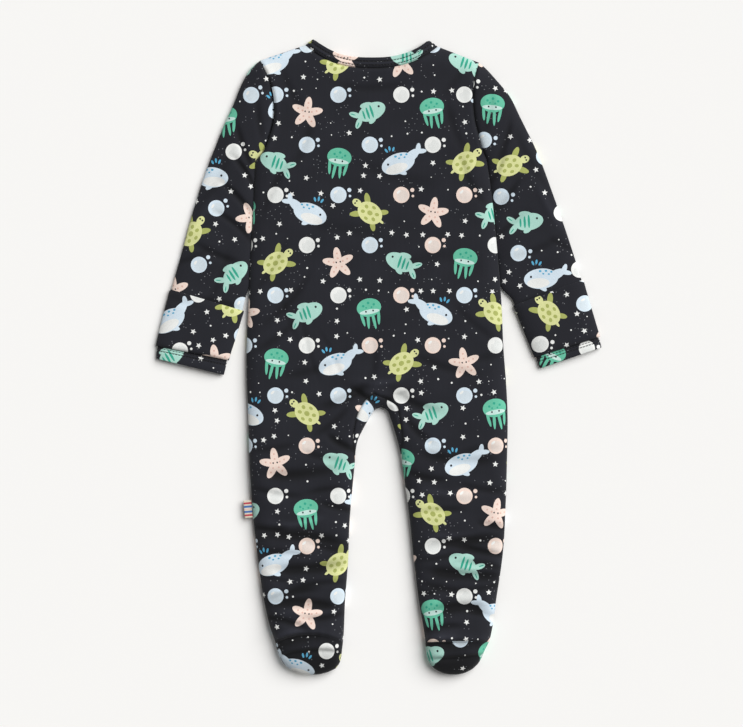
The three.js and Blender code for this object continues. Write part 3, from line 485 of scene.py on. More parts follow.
def lap_rise(places):
    """The right front is raised where it lies on the left one."""
    edge = middle_of(places[..., 1]) + LAP_HALF + LAP_CLEAR
    across = ease((edge + LAP_RAMP - places[..., 0]) / LAP_RAMP)
    return LAP_LIFT * across * ease((places[..., 1] - SEAM_TOP[1]) / LIFT_START)


def lift_of(side, is_front):
    """The right front is the only cloth that is raised."""
    return lap_rise if is_front and not side.is_left else None


def neck_line(shares, is_front):
    """The neck seam over shares of the neck's width: level in the middle, steep at the shoulders."""
    points = mix(LEFT_NECK, RIGHT_NECK, shares[:, None])
    power = FRONT_NECK_SQUARENESS if is_front else BACK_NECK_SQUARENESS
    drop = FRONT_NECK_DROP if is_front else points[:, 1] - NECK_MIDDLE[1]
    points[:, 1] -= drop * (1 - np.abs(2 * shares - 1) ** power)
    return points


class Side:
    """The measures of one side of the suit. Inward is the way from its side seam to the middle, along x."""

    def __init__(self, name, inward, outer, inner, arch, armhole, neck, tip, heel_bow):
        self.name, self.inward, self.is_left = name, inward, inward > 0
        self.outer, self.inner = curve(outer), curve(inner)
        self.arch, self.armhole, self.neck, self.tip, self.heel_bow = arch, armhole, neck, tip, heel_bow
        self.arch_edge = np.vstack([CROTCH_TOP, arch[:, :2]])
        sides = leftward(self.arch_edge) * -inward
        reach = ROUND_OVER * (1 - np.cos(np.radians(arch[:, 2:])))
        self.arch_seam = np.vstack([SEAM_TOP, arch[:, :2] + sides[1:] * reach])

    def outer_at(self, y):
        return np.stack([np.interp(y, self.outer[::-1, 1], self.outer[::-1, 0]), y], -1)

    def inner_at(self, y):
        return np.stack([np.interp(y, self.inner[::-1, 1], self.inner[::-1, 0]), y], -1)


def arch_at(line, stations):
    """Points on the crotch's edge or its seam, at stations counted down from the top."""
    return smooth(stations, np.arange(len(line), dtype=float), line)


LEFT = Side("left", 1, LEFT_SIDE, LEFT_INNER, LEFT_ARCH, LEFT_ARMHOLE, LEFT_NECK, LEFT_TIP, LEFT_HEEL_BOW)
RIGHT = Side(
    "right", -1, RIGHT_SIDE, RIGHT_INNER, RIGHT_ARCH, RIGHT_ARMHOLE, RIGHT_NECK, RIGHT_TIP, RIGHT_HEEL_BOW
)
SIDES = (LEFT, RIGHT)


def foot_end(side):
    """The end of a foot, which bows outwards between its two sides."""
    return bowed(side.outer_at(FOOT_END_Y), side.inner_at(FOOT_END_Y), FOOT_END_BOW, BODY_SHARES)


def inseam(side):
    """The inner edge of a leg, from the top of the crotch to the end of the foot."""
    stations = np.linspace(0, len(side.arch), 40)
    return np.vstack([arch_at(side.arch_edge, stations), side.inner[1:]])


def body_outline():
    """The body and legs, walked with the cloth on the left: down the left side and up the right."""
    left = np.vstack([LEFT.outer[:-1], foot_end(LEFT)[:-1], inseam(LEFT)[:0:-1]])
    right = np.vstack([inseam(RIGHT)[:-1], foot_end(RIGHT)[:0:-1], RIGHT.outer[::-1]])
    return np.vstack([left, right])


def body_heights(places):
    """The heights of the top cloth and of the side seam, from their table up the garment."""
    top, seam = smooth(places[..., 1], BULK[:, 0], BULK[:, 1:]).T
    return top.T, seam.T


def leg_bow(y, bow):
    """How far the leg's rows bow: a power of the share of the way down to the heel."""
    share = np.clip((BOW_START - y) / (BOW_START - HEEL_Y), 0, 1)
    return bow * share**BOW_POWER


def leg_grid(side, bow, shift):
    """Half a panel from the gusset's top down to the heel's or the toe's seam."""
    stations = np.linspace(0, len(side.arch), 30)
    seam = arch_at(side.arch_seam, stations)
    seam[0] += (shift, 0)
    edge_y = arch_at(side.arch_edge, stations)[:, 1]
    outer_y = mix(edge_y, HIP["y"], HIP["lean"])
    outer_y = mix(outer_y, HIP["top"], ease(1 - stations))
    arch = bowed(side.outer_at(outer_y), seam, np.zeros(len(seam)), BODY_SHARES)
    low = side.arch[-1, 1]
    heights = spread(low - HEEL_Y, at_start=False)[1:]
    outer_rows = mix(outer_y[-1], HEEL_Y, heights)
    inner_rows = mix(low, HEEL_Y, heights)
    legs = bowed(side.outer_at(outer_rows), side.inner_at(inner_rows), leg_bow(inner_rows, bow), BODY_SHARES)
    return np.concatenate([arch, legs])


def between(bottom, top, left_edge, right_edge, rows):
    """Fills a grid between four edges, with rows at shares of the way from the bottom edge to the top one."""
    v = rows[:, None, None]
    u = ((bottom[:, 0] - bottom[0, 0]) / (bottom[-1, 0] - bottom[0, 0]))[None, :, None]
    ends = mix(bottom[None], top[None], v) + mix(left_edge[:, None], right_edge[:, None], u)
    return ends - mix(mix(bottom[0], bottom[-1], u), mix(top[0], top[-1], u), v)


def top_edge(side, is_front):
    """Half a panel's top: along the shoulder to the neck, then round the neck to the panel's own edge."""
    count = len(BODY_SHARES)
    shoulder_count = count * 2 // 5
    shares = (np.arange(shoulder_count) / shoulder_count) ** 1.35
    shoulder = mix(side.armhole[0], side.neck, shares[:, None])
    across = np.linspace(0, 1, count - shoulder_count) ** 1.25 * half_neck(is_front)
    return np.vstack([shoulder, neck_line(across if side.is_left else 1 - across, is_front)])


def upper_grid(side, is_front):
    """Half a panel above the gusset, from its outer side to the middle, with rows from the bottom up."""
    outer_top = side.armhole[-1, 1]
    middle_top = (LEFT_ARMHOLE[-1, 1] + RIGHT_ARMHOLE[-1, 1]) / 2
    shares = np.linspace(0, 1, int((outer_top - HIP["top"]) / ROW_GAP) + 2)
    middle_y = mix(SEAM_TOP[1], middle_top, shares)
    middle = np.stack([middle_of(middle_y) + side.inward * lap_reach(middle_y, is_front), middle_y], -1)
    outer = side.outer_at(mix(HIP["top"], outer_top, shares))
    outer[-1] = side.armhole[-1]
    low = bowed(outer, middle, np.zeros(len(shares)), BODY_SHARES)
    top = top_edge(side, is_front)
    rows = spread(YOKE_LENGTH, at_start=False)
    armhole = on_curve(side.armhole[::-1], rows)
    yoke = between(low[-1], top, armhole, mix(low[-1, -1], top[-1], rows[:, None]), rows)
    return np.concatenate([low, yoke[1:]])


GUSSET_SEAMS = [curve(side.arch_seam, 2.0) for side in SIDES]
HEEL_SEAMS = [
    bowed(side.outer_at(HEEL_Y), side.inner_at(HEEL_Y), side.heel_bow, np.linspace(0, 1, 30))
    for side in SIDES
]
ARMHOLE_SEAMS = [curve(side.armhole, 2.0) for side in SIDES]
BODY_SEAMS = [*GUSSET_SEAMS, *HEEL_SEAMS, *ARMHOLE_SEAMS, neck_line(np.linspace(0, 1, 60), False)]


def body_relief(places):
    """How far the body's cloth sinks: its creases, its heels, its seams and its slow swells."""
    folds = troughs(places, BODY_CREASES) + heel_relief(places, HEEL_SEAMS)
    return folds + seam_relief(places, BODY_SEAMS) + waves(places)


BODY = Form(
    [
        body_outline(),
        np.array([LEFT_TIP, LEFT_NECK, LEFT_ARMHOLE[0]]),
        np.array([RIGHT_ARMHOLE[0], RIGHT_NECK, RIGHT_TIP]),
    ],
    body_heights,
    body_relief,
)


class Link:
    """A socket of a node tree. Sums and products of it are worked out by the tree's own Math nodes."""

    def __init__(self, tree, socket):
        self.tree, self.socket = tree, socket

    def math(self, operation, *others):
        return self.tree.node("Math", dict(enumerate([self, *others])), operation=operation)

    def __add__(self, other):
        return self.math("ADD", other)

    def __sub__(self, other):
        return self.math("SUBTRACT", other)

    def __rsub__(self, other):
        return self.tree.node("Math", {0: other, 1: self}, operation="SUBTRACT")

    def __mul__(self, other):
        return self.math("MULTIPLY", other)

    def __truediv__(self, other):
        return self.math("DIVIDE", other)

    __radd__ = __add__
    __rmul__ = __mul__


class Tree:
    """The nodes of one material."""

    def __init__(self, name):
        self.material = bpy.data.materials.new(name)
        self.material.use_nodes = True
        self.nodes = self.material.node_tree.nodes
        self.links = self.material.node_tree.links
        self.nodes.clear()

    def node(self, kind, values=None, output=0, **settings):
        """Adds a shader node with its settings, then the values or links of its sockets. Gives one output."""
        made = self.nodes.new("ShaderNode" + kind)
        for name, setting in settings.items():
            setattr(made, name, setting)
        for key, value in (values or {}).items():
            if isinstance(value, Link):
                self.links.new(value.socket, made.inputs[key])
            else:
                made.inputs[key].default_value = value
        return Link(self, made.outputs[output])

    def parts(self, kind, value, count):
        """The first few outputs of a node with one input."""
        outputs = self.node(kind, {0: value}).socket.node.outputs
        return [Link(self, outputs[i]) for i in range(count)]

    def split(self, vector):
        return self.parts("SeparateXYZ", vector, 2)

    def join(self, x, y):
        """A place on the plan, with one as its third number, which carries the shifts of ellipses."""
        return self.node("CombineXYZ", {0: x, 1: y, 2: 1.0})

    def on_cut(self):
        """A place in the piece's own cut, in millimetres."""
        cut = self.node("UVMap", uv_map="cut")
        return self.node("VectorMath", {0: cut, 3: 1 / MM}, operation="SCALE")

    def mix_colour(self, share, a, b, blend="MIX"):
        settings = {"data_type": "RGBA", "clamp_factor": True, "blend_type": blend}
        return self.node("Mix", {0: share, 6: a, 7: b}, 2, **settings)

    def shaded(self, colour, shade):
        """A colour times a number."""
        grey = self.node("CombineColor", {0: shade, 1: shade, 2: shade})
        return self.mix_colour(1.0, colour, grey, "MULTIPLY")

    def ellipse(self, place, x, y, half_x, half_y, degrees=0):
        """How far out a place is in an ellipse, squared: one on its rim."""
        turn = np.radians(degrees)
        reach = []
        for half, right, up in ((half_x, np.cos(turn), np.sin(turn)), (half_y, -np.sin(turn), np.cos(turn))):
            row = (right / half, up / half, -(right * x + up * y) / half)
            reach.append(self.node("VectorMath", {0: place, 1: row}, 1, operation="DOT_PRODUCT"))
        return reach[0].math("MULTIPLY_ADD", reach[0], reach[1] * reach[1])

    def noise(self, place, scale, detail=2.0):
        return self.node("TexNoise", {"Vector": place, "Scale": scale, "Detail": detail})

    def random(self, place):
        """Three random numbers that belong to a whole-numbered place."""
        colour = self.node("TexWhiteNoise", {"Vector": place}, 1, noise_dimensions="2D")
        return self.parts("SeparateColor", colour, 3)

    def bump(self, strength, depth, height):
        """Fine relief, whose depth is in metres."""
        return self.node("Bump", {"Strength": strength, "Distance": depth, "Height": height})

    def surface(self, values):
        """Ends the material in a surface with these values."""
        made = self.nodes.new("ShaderNodeOutputMaterial")
        self.links.new(self.node("BsdfPrincipled", values).socket, made.inputs["Surface"])
        return self.material


def paint(red, green, blue):
    """A colour given in the usual 0 to 255, as the light that it reflects."""
    share = np.array([red, green, blue]) / 255
    return (*np.where(share > 0.04045, ((share + 0.055) / 1.055) ** 2.4, share / 12.92), 1.0)


INK = {name: paint(*colour) for name, colour in {
    "mint": (172, 216, 203), "pale mint": (200, 229, 221), "green": (104, 192, 162), "teal": (52, 164, 138),
    "lime": (217, 220, 156), "olive": (170, 177, 100), "ice": (214, 229, 240), "blue": (92, 172, 208),
    "peach": (240, 218, 206), "rose": (222, 184, 170), "white": (238, 239, 236), "grey": (206, 211, 209),
    "dust": (120, 122, 126), "cloth": (31, 32, 39),
}.items()}

# The print repeats over sloping rows of cells. Each cell holds one of these five sea creatures: its turn
# in degrees and its layers. A layer is an ink and its ellipses, each a middle, half sizes and a turn.
CELL_WIDTH, CELL_HEIGHT = 59.0, 47.0


def pair(x, y, half_x, half_y, degrees=0):
    """An ellipse and its mirror image across the creature's length."""
    return [(x, y, half_x, half_y, degrees), (x, -y, half_x, half_y, -degrees)]


WHALE = (14, [
    ("ice", [(-3, 0, 16, 9.5, 6), (10, 3.6, 10, 4.4, 28), (18.5, 9, 5.4, 2.3, 70), (20.5, 6.2, 5.2, 2.2, -8),
             (-2, -8, 5.4, 2.4, -38)]),
    ("white", [(-5.5, -4.2, 10.5, 4.6, 4)]),
    ("blue", [(-4, 7, 1.3, 1, 0), (1.5, 7.4, 1.2, 1, 0), (6.5, 6.6, 1.1, 0.9, 0), (-1, 4.6, 1, 0.8, 0),
              (4.2, 4.4, 1, 0.8, 0), (-11, 14.4, 1, 2.2, 24), (-7.6, 15.6, 1, 2.2, -6),
              (-4.2, 14.2, 1, 2.2, -30)]),
    ("cloth", [(-12.5, 1.4, 1, 1.1, 0)]),
])
FISH = (-26, [
    ("mint", [(-2, 0, 13.5, 8, 0), *pair(13.4, 4, 5.8, 2.6, 42), (0, 7.6, 6, 2.8, 14),
              (1, -7.6, 4, 2.2, -20)]),
    ("teal", [(2, 0.4, 1.1, 5.6, 8), (6, 0.4, 0.9, 4.2, 8), (-2, 0.4, 1.1, 6.2, 8),
              *pair(15, 5.4, 2.6, 0.5, 42)]),
    ("cloth", [(-10, 1.8, 1, 1.1, 0)]),
])
TURTLE = (38, [
    ("olive", [*pair(9.5, 8.4, 6.4, 2.7, 42), *pair(-9.5, 8, 5, 2.4, 138)]),
    ("lime", [(0, 0, 12.4, 9.6, 0), (15.4, 0, 4.6, 3.5, 0), (-13.4, 0, 2.6, 1.2, 0)]),
    ("olive", [(0, 0, 2.6, 2.2, 0), *pair(6.2, 2.8, 2, 1.6, 20), *pair(-6.2, 2.8, 2, 1.6, -20),
               *pair(0, 6.2, 2, 1.4)]),
    ("cloth", pair(16.6, 1.3, 0.8, 0.9)),
])
JELLYFISH = (-10, [
    ("green", [(0, 5.4, 11.4, 8.6, 0), (-7.6, -4.6, 1.4, 7.4, 8), (-2.6, -6.6, 1.4, 9, -4),
               (2.6, -6, 1.4, 8.4, 6), (7.6, -4.4, 1.4, 7, -8)]),
    ("pale mint", [(0, 1.4, 9.4, 2.2, 0)]),
    ("teal", [(-5, 7.6, 1.1, 1.1, 0), (0, 9.8, 1.2, 1.2, 0), (5, 7.6, 1.1, 1.1, 0), (-2.4, 5.4, 0.8, 0.8, 0),
              (2.6, 5.6, 0.8, 0.8, 0)]),
    ("cloth", [(-3.4, 2, 0.8, 0.9, 0), (3.4, 2, 0.8, 0.9, 0)]),
])
ARM_TURNS = np.radians(90 + 72 * np.arange(5))
STARFISH = (9, [
    ("peach", [(6.4 * np.cos(a), 6.4 * np.sin(a), 8.6, 3.6, np.degrees(a)) for a in ARM_TURNS]),
    ("rose", [(r * np.cos(a), r * np.sin(a), 0.9, 0.9, 0) for r in (4.6, 9.2) for a in ARM_TURNS]),
    ("cloth", [(-1.9, 1, 0.7, 0.8, 0), (1.9, 1, 0.7, 0.8, 0)]),
])
CREATURES = [WHALE, FISH, TURTLE, JELLYFISH, STARFISH]


def cell_of(tree, place):
    """The print's cell that a place is in: the place from its middle, its column and its row."""
    x, y = tree.split(place)
    row = (y / CELL_HEIGHT).math("FLOOR")
    sloped = x + row * (CELL_WIDTH / 2)
    column = (sloped / CELL_WIDTH).math("FLOOR")
    local = tree.join(sloped - (column + 0.5) * CELL_WIDTH, y - (row + 0.5) * CELL_HEIGHT)
    return local, column, row


def smallest(links):
    """The least of several numbers."""
    least = links[0]
    for other in links[1:]:
        least = least.math("MINIMUM", other)
    return least


def turned(x, y, degrees):
    """A place turned about the middle."""
    turn = np.radians(degrees)
    return x * np.cos(turn) - y * np.sin(turn), x * np.sin(turn) + y * np.cos(turn)


def draw_creatures(tree, colour, place):
    """Paints each cell's creature over a colour. Every other row is printed the other way round."""
    local, column, row = cell_of(tree, place)
    x, y = tree.split(local)
    local = tree.join(x * (1 - 2 * row.math("FLOORED_MODULO", 2)), y)
    kind = (2 * column + row).math("FLOORED_MODULO", len(CREATURES))
    for number, (tilt, layers) in enumerate(CREATURES):
        is_kind = kind.math("COMPARE", float(number), 0.5)
        for ink, ellipses in layers:
            rims = smallest([
                tree.ellipse(local, *turned(x, y, tilt), half_x, half_y, degrees + tilt)
                for x, y, half_x, half_y, degrees in ellipses
            ])
            colour = tree.mix_colour(rims.math("LESS_THAN", 1.0) * is_kind, colour, INK[ink])
    return colour


# Bubbles lie in the gaps between every three creatures.
BUBBLE_PLACE = (CELL_WIDTH * 0.5, CELL_HEIGHT * 0.36, 0)
BUBBLE_SIZE = 7.6


def bubble_gap(tree, place):
    """A place from the middle of its nearest bubble, and that bubble's column and row."""
    return cell_of(tree, tree.node("VectorMath", {0: place, 1: BUBBLE_PLACE}, operation="SUBTRACT"))


def draw_bubbles(tree, colour, place):
    """Paints a pale disc with a lighter hollow in it, and two small ones beside it."""
    local, column, row = bubble_gap(tree, place)
    pick = tree.random(tree.join(column, row))[0]
    tint = tree.mix_colour(pick.math("GREATER_THAN", 0.35), INK["ice"], INK["white"])
    tint = tree.mix_colour(pick.math("GREATER_THAN", 0.7), tint, INK["peach"])
    size = BUBBLE_SIZE
    discs = [(0, 0, size, size), (size + 2.6, 4.6, 1.9, 1.9), (size + 3.2, -1.0, 1.2, 1.2)]
    hollow, glint = (0.8, -0.8, size * 0.72, size * 0.72), (-2.6, 2.8, 2.2, 1.1, 42)
    layers = ((discs, 1.0, tint), ([hollow], 0.35, INK["grey"]), ([glint], 1.0, INK["white"]))
    for ellipses, share, ink in layers:
        rims = smallest([tree.ellipse(local, *ellipse) for ellipse in ellipses])
        colour = tree.mix_colour(rims.math("LESS_THAN", 1.0) * share, colour, ink)
    return colour


# Stars and dots are strewn over smaller cells, clear of the ellipses of room that the creatures and the
# bubbles take up, and fine dots over the smallest. A random pick makes a cell's spot a dot or a star.
STREW, DUST = 13.5, 4.3
STAR_SIZE, STAR_WAIST = 2.9, 2.404
STAR_PICK = 0.45
CREATURE_ROOM, BUBBLE_ROOM = (0, 0, 24.5, 19.0), (2, 1, 13, 12)


def strewn(tree, place, cell, margin):
    """A random spot in each small cell: the spot, the gap from it to a place, and three random numbers."""
    x, y = tree.split(place)
    column, row = (x / cell).math("FLOOR"), (y / cell).math("FLOOR")
    picks = tree.random(tree.join(column, row))
    spot_x = (column + margin + picks[0] * (1 - 2 * margin)) * cell
    spot_y = (row + margin + picks[1] * (1 - 2 * margin)) * cell
    gap_x, gap_y = x - spot_x, y - spot_y
    return tree.join(spot_x, spot_y), gap_x, gap_y, gap_x * gap_x + gap_y * gap_y, picks


def draw_stars(tree, colour, place):
    """Paints five-pointed stars and dots. A star's rim is straight from each point to the next waist."""
    spot, gap_x, gap_y, squared, (first, _, third) = strewn(tree, place, STREW, 0.25)
    free = tree.ellipse(cell_of(tree, spot)[0], *CREATURE_ROOM).math("GREATER_THAN", 1.0)
    free = free * tree.ellipse(bubble_gap(tree, spot)[0], *BUBBLE_ROOM).math("GREATER_THAN", 1.0)
    radius = squared.math("SQRT")
    angle = gap_y.math("ARCTAN2", gap_x) + third * 6.28
    fifth = (angle.math("FLOORED_MODULO", 2 * np.pi / 5) - np.pi / 5).math("ABSOLUTE")
    rim = radius * (fifth.math("COSINE") + STAR_WAIST * fifth.math("SINE"))
    star = rim.math("LESS_THAN", STAR_SIZE) * third.math("GREATER_THAN", STAR_PICK)
    dot = radius.math("LESS_THAN", 0.5 + first * 0.5) * third.math("LESS_THAN", STAR_PICK)
    return tree.mix_colour((star + dot) * free, colour, INK["white"])


def draw_dust(tree, colour, place):
    """Paints tiny dots in clouds, where a slow noise is high, one in each of the smallest cells."""
    _, _, _, squared, (_, _, third) = strewn(tree, place, DUST, 0.1)
    near = squared.math("LESS_THAN", 0.06 + third * 0.16)
    cloud = tree.noise(place, 0.05, 1.0).math("GREATER_THAN", 0.56) * third.math("GREATER_THAN", 0.4)
    return tree.mix_colour(near * cloud, colour, INK["dust"])


# Painted shade: how much darker the cloth's colour is painted for each millimetre that it sinks in a fold,
# with the least, which below nought is painted light on a ridge, and the most, and the share of that which
# its printed inks show.
HOLLOW_SHADE = {"each": 0.25, "ridge": -0.5, "trough": 0.66, "ink": 0.4}

# The knit's wales and courses, and the depth of its relief in metres, in the cloth and in made-up edges.
WALE, COURSE = 1.15, 0.95
KNIT_DEPTH, EDGE_KNIT_DEPTH = 0.00012, 0.00014


def jersey(name, knit_depth):
    """Printed cotton jersey: ink on dark cloth, slightly mottled, over a fine knit, with painted shade in its
    hollows and painted light on its ridges.
    """
    tree = Tree(name)
    place = tree.on_cut()
    depth = tree.node("Attribute", {}, 2, attribute_name="hollow")
    # Painted shade from the cloth's depth: darker in hollows, lighter on ridges, within the least and the
    # most.
    painted_shade = (depth * HOLLOW_SHADE["each"]).math("MAXIMUM", HOLLOW_SHADE["ridge"])
    painted_shade = painted_shade.math("MINIMUM", HOLLOW_SHADE["trough"])
    colour = tree.shaded(INK["cloth"], 1.0 - painted_shade)
    for draw in (draw_dust, draw_stars, draw_bubbles, draw_creatures):
        colour = draw(tree, colour, place)
    worn, fuzz = tree.noise(place, 0.035, 3.0), tree.noise(place, 1.1)
    # Mottling, times the painted shade at its share on the inks.
    shade = (0.7 + worn * 0.28 + fuzz * 0.34) * (1.0 - painted_shade * HOLLOW_SHADE["ink"])
    x, y = tree.split(place)
    wales = (x * (2 * np.pi / WALE)).math("SINE")
    courses = (y * (2 * np.pi / COURSE) + wales * 0.9).math("SINE")
    return tree.surface({
        "Base Color": tree.shaded(colour, shade), "Roughness": 0.8 + fuzz * 0.08,
        "Normal": tree.bump(0.55, knit_depth, wales * 0.5 + courses * 0.5 + fuzz * 1.4),
        "Sheen Weight": 0.12, "Sheen Roughness": 0.5, "Specular IOR Level": 0.25,
    })


def thread():
    """Twisted black sewing thread: fine bands that slope round it."""
    tree = Tree("black_thread")
    place = tree.node("TexCoord", {}, 3)
    twist = tree.node("TexWave", {"Vector": place, "Scale": 1400.0}, bands_direction="DIAGONAL")
    colour = paint(16, 16, 19)
    shade = tree.mix_colour(twist, colour, tuple(0.7 * v for v in colour[:3]) + (1.0,))
    bump = tree.bump(0.5, 0.00005, twist)
    return tree.surface({"Base Color": shade, "Roughness": 0.7, "Normal": bump, "Sheen Weight": 0.1})


# The tape tab: where it leaves the side seam, its turn in degrees, how far it stands out, its width, and
# how thick it is when folded and in one layer.
TAB = {"x": -118.6, "y": 158.0, "turn": 5.0, "reach": 7.6, "width": 16.5, "thick": 1.6, "layer": 0.62}
RIB_ACROSS, RIB_ALONG = 0.42, 0.5


def tape():
    """Woven tape: a cream ground with two coloured lines along each side, and a fine rib across."""
    tree = Tree("woven_tape")
    along, across = tree.split(tree.on_cut())
    edge = (across - TAB["width"] / 2).math("ABSOLUTE")
    colour = paint(232, 222, 200)
    bands = [(2.4, 1.9, paint(66, 116, 186)), (5.6, 1.7, paint(200, 62, 78)), (0, 0.45, paint(236, 160, 180))]
    for middle, width, ink in bands:
        is_band = (edge - middle).math("ABSOLUTE").math("LESS_THAN", width / 2)
        colour = tree.mix_colour(is_band, colour, ink)
    rib = (across * (2 * np.pi / RIB_ACROSS)).math("SINE") + (along * (2 * np.pi / RIB_ALONG)).math("SINE")
    bump = tree.bump(0.6, 0.00008, rib)
    return tree.surface({"Base Color": colour, "Roughness": 0.62, "Normal": bump, "Sheen Weight": 0.1})


def wrong_side():
    """The back of the printed jersey: the dye shows through it unevenly, over the loops of the knit."""
    tree = Tree("jersey_wrong_side")
    place = tree.node("TexCoord", {}, 3)
    blotch, fuzz = tree.noise(place, 28.0, 3.0), tree.noise(place, 900.0)
    colour = tree.mix_colour(blotch * 0.7 + fuzz * 0.3, paint(104, 107, 114), paint(136, 139, 144))
    bump = tree.bump(0.6, 0.0002, fuzz)
    return tree.surface({"Base Color": colour, "Roughness": 0.9, "Normal": bump, "Sheen Weight": 0.15})


PRINT = jersey("print_jersey", KNIT_DEPTH)
INSIDE = wrong_side()
EDGE = jersey("edge_jersey", EDGE_KNIT_DEPTH)
THREAD = thread()
TAPE = tape()

# How each sheet is held, what it lies on, and where it was cut from the printed cloth: a shift in
# millimetres and a turn in degrees.
SHEETS = {
    "back": ("laid", ["front_left", "front_right"], (8, 11, 0)),
    "front_left": ("laid", ["floor"], (230, 40, 0)),
    "front_right": ("laid", ["front_left", "floor"], (-310, 75, 0)),
    "gusset": ("folded", ["back"], (120, -60, 24)),
    "neck_band": ("folded", ["back", "front_left"], (12, 17, 0)),
    "sleeve_left": ("folded", ["floor"], (33, 140, -15)),
    "sleeve_right": ("folded", ["floor"], (-24, 92, 15)),
    "cuff_left": ("folded", ["sleeve_left"], (70, 18, -12)),
    "cuff_right": ("folded", ["sleeve_right"], (15, 66, 16)),
    "mitten_left": ("laid", ["sleeve_left"], (-41, 27, -14)),
    "mitten_right": ("laid", ["sleeve_right"], (52, -19, 15)),
    "sole_left": ("folded", ["floor"], (19, -32, 0)),
    "sole_right": ("folded", ["floor"], (-47, 51, 0)),
    "side_tab": ("folded", ["back"], (0, 0, 0)),
}

# Points closer than the first are merged, and edges shorter than the second removed, in metres.
SAME_PLACE, NO_LENGTH = 0.03 * MM, 1e-7


def cut_place(cut, name):
    """Places in a piece's cut, turned and moved to where the piece was cut from the print, in metres."""
    x, y, degrees = SHEETS[name][2]
    across, up = turned(cut[..., 0], cut[..., 1], degrees)
    return np.stack([across + x, up + y], -1) * MM


def placed(name, data):
    """Puts a mesh, a lamp or a camera in the scene."""
    made = bpy.data.objects.new(name, data)
    bpy.context.scene.collection.objects.link(made)
    return made


def make_mesh(name, vertices, quads, material, cut=None, hollow=None, is_closed=True):
    """A smooth mesh object from points in millimetres, and their places in the cut in metres.

    One with a cut has its doubles merged, and a closed one has its faces turned outwards. Hollow is how
    far the cloth sinks below its smooth form at each point, which its material reads to paint shade into
    hollows and light onto ridges.
    """
    mesh = bpy.data.meshes.new(name)
    mesh.from_pydata(((vertices - PATTERN_ORIGIN) * MM).tolist(), [], quads.tolist())
    if hollow is not None:
        mesh.attributes.new("hollow", "FLOAT", "POINT").data.foreach_set("value", hollow)
    if cut is not None:
        corners = np.empty(len(mesh.loops), np.int32)
        mesh.loops.foreach_get("vertex_index", corners)
        mesh.uv_layers.new(name="cut").data.foreach_set("uv", cut[corners].ravel())
    shape = bmesh.new()
    shape.from_mesh(mesh)
    if cut is not None:
        bmesh.ops.remove_doubles(shape, verts=shape.verts, dist=SAME_PLACE)
        bmesh.ops.dissolve_degenerate(shape, edges=shape.edges, dist=NO_LENGTH)
    if is_closed:
        bmesh.ops.recalc_face_normals(shape, faces=shape.faces)
    shape.to_mesh(mesh)
    shape.free()
    mesh.polygons.foreach_set("use_smooth", np.ones(len(mesh.polygons), bool))
    mesh.materials.append(material)
    return placed(name, mesh)


def quads_of(rows, columns, first=0, wrap_rows=False, wrap_columns=False):
    """The quads of a grid of points, which may close on itself either way."""
    index = first + np.arange(rows * columns).reshape(rows, columns)
    if wrap_rows:
        index = np.vstack([index, index[:1]])
    if wrap_columns:
        index = np.hstack([index, index[:, :1]])
    corners = [index[:-1, :-1], index[:-1, 1:], index[1:, 1:], index[1:, :-1]]
    return np.stack(corners, -1).reshape(-1, 4)


def cut_area(cut):
    """The flat area of a grid of places in a cut: half the cross products of its quads' diagonals."""
    rise = cut[1:, 1:] - cut[:-1, :-1]
    fall = cut[1:, :-1] - cut[:-1, 1:]
    return np.abs(rise[..., 0] * fall[..., 1] - rise[..., 1] * fall[..., 0]).sum() / 2


def flat_size(name, cuts):
    """The width and length that a piece of cloth was cut to. Folded pieces open out along their fold."""
    if name == "gusset":
        length = max(along_line(line)[-1] for line in (cuts[0][0], cuts[0][-1]))
        return sum(np.linalg.norm(cut[-1] - cut[0], axis=1).max() for cut in cuts), length
    if name.startswith("sole"):
        return max(np.ptp(cut[..., 0]) for cut in cuts), sum(np.ptp(cut[..., 1]) for cut in cuts)
    return np.ptp(np.concatenate([cut_place(cut.reshape(-1, 2), name) for cut in cuts]) / MM, axis=0)


def dress(piece, name, slot, size, **area):
    """Attaches a piece to the suit and hides the solid that it stands for. Its slot and area are not used."""
    size[0] * MM
    size[1] * MM
    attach(piece, "root")
    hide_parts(name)


def cloth_piece(name, form, grids, lift=None, fold=None):
    """A piece of printed cloth over grids of places, each facing up or down, with its wall behind them.

    Fold moves the cut of the cloth underneath to where it runs on from a fold.
    """
    patches, cuts, count = [], [], 0
    for grid, is_top in grids:
        points, cut = form.cloth(grid, is_top, lift=lift)
        if fold and not is_top:
            cut = fold(cut)
        faces = quads_of(*grid.shape[:2], count)
        across = points[:-1, 1:, :2] - points[:-1, :-1, :2]
        up = points[1:, :-1, :2] - points[:-1, :-1, :2]
        area = (across[..., 0] * up[..., 1] - across[..., 1] * up[..., 0]).sum()
        faces = faces if (area > 0) == is_top else faces[:, ::-1]
        # The top cloth's depth in its creases, seams and heels, which its material paints as shade, and as
        # light where it rises.
        depth = form.relief(points[..., :2]) if is_top else np.zeros(grid.shape[:2])
        patches.append((points.reshape(-1, 3), faces, cut_place(cut.reshape(-1, 2), name), depth.ravel()))
        cuts.append(cut)
        count += depth.size
    vertices, quads, places, hollow = (np.concatenate(parts) for parts in zip(*patches))
    piece = make_mesh(f"{name}_cloth", vertices, quads, PRINT, places, hollow, is_closed=False)
    piece.data.materials.append(INSIDE)
    solid = piece.modifiers.new("wall", "SOLIDIFY")
    solid.thickness = JERSEY * MM
    solid.offset = -1
    solid.material_offset = 1
    area = sum(cut_area(cut) for cut in cuts) * MM**2
    dress(piece, name, "print_jersey", flat_size(name, cuts), area=area)


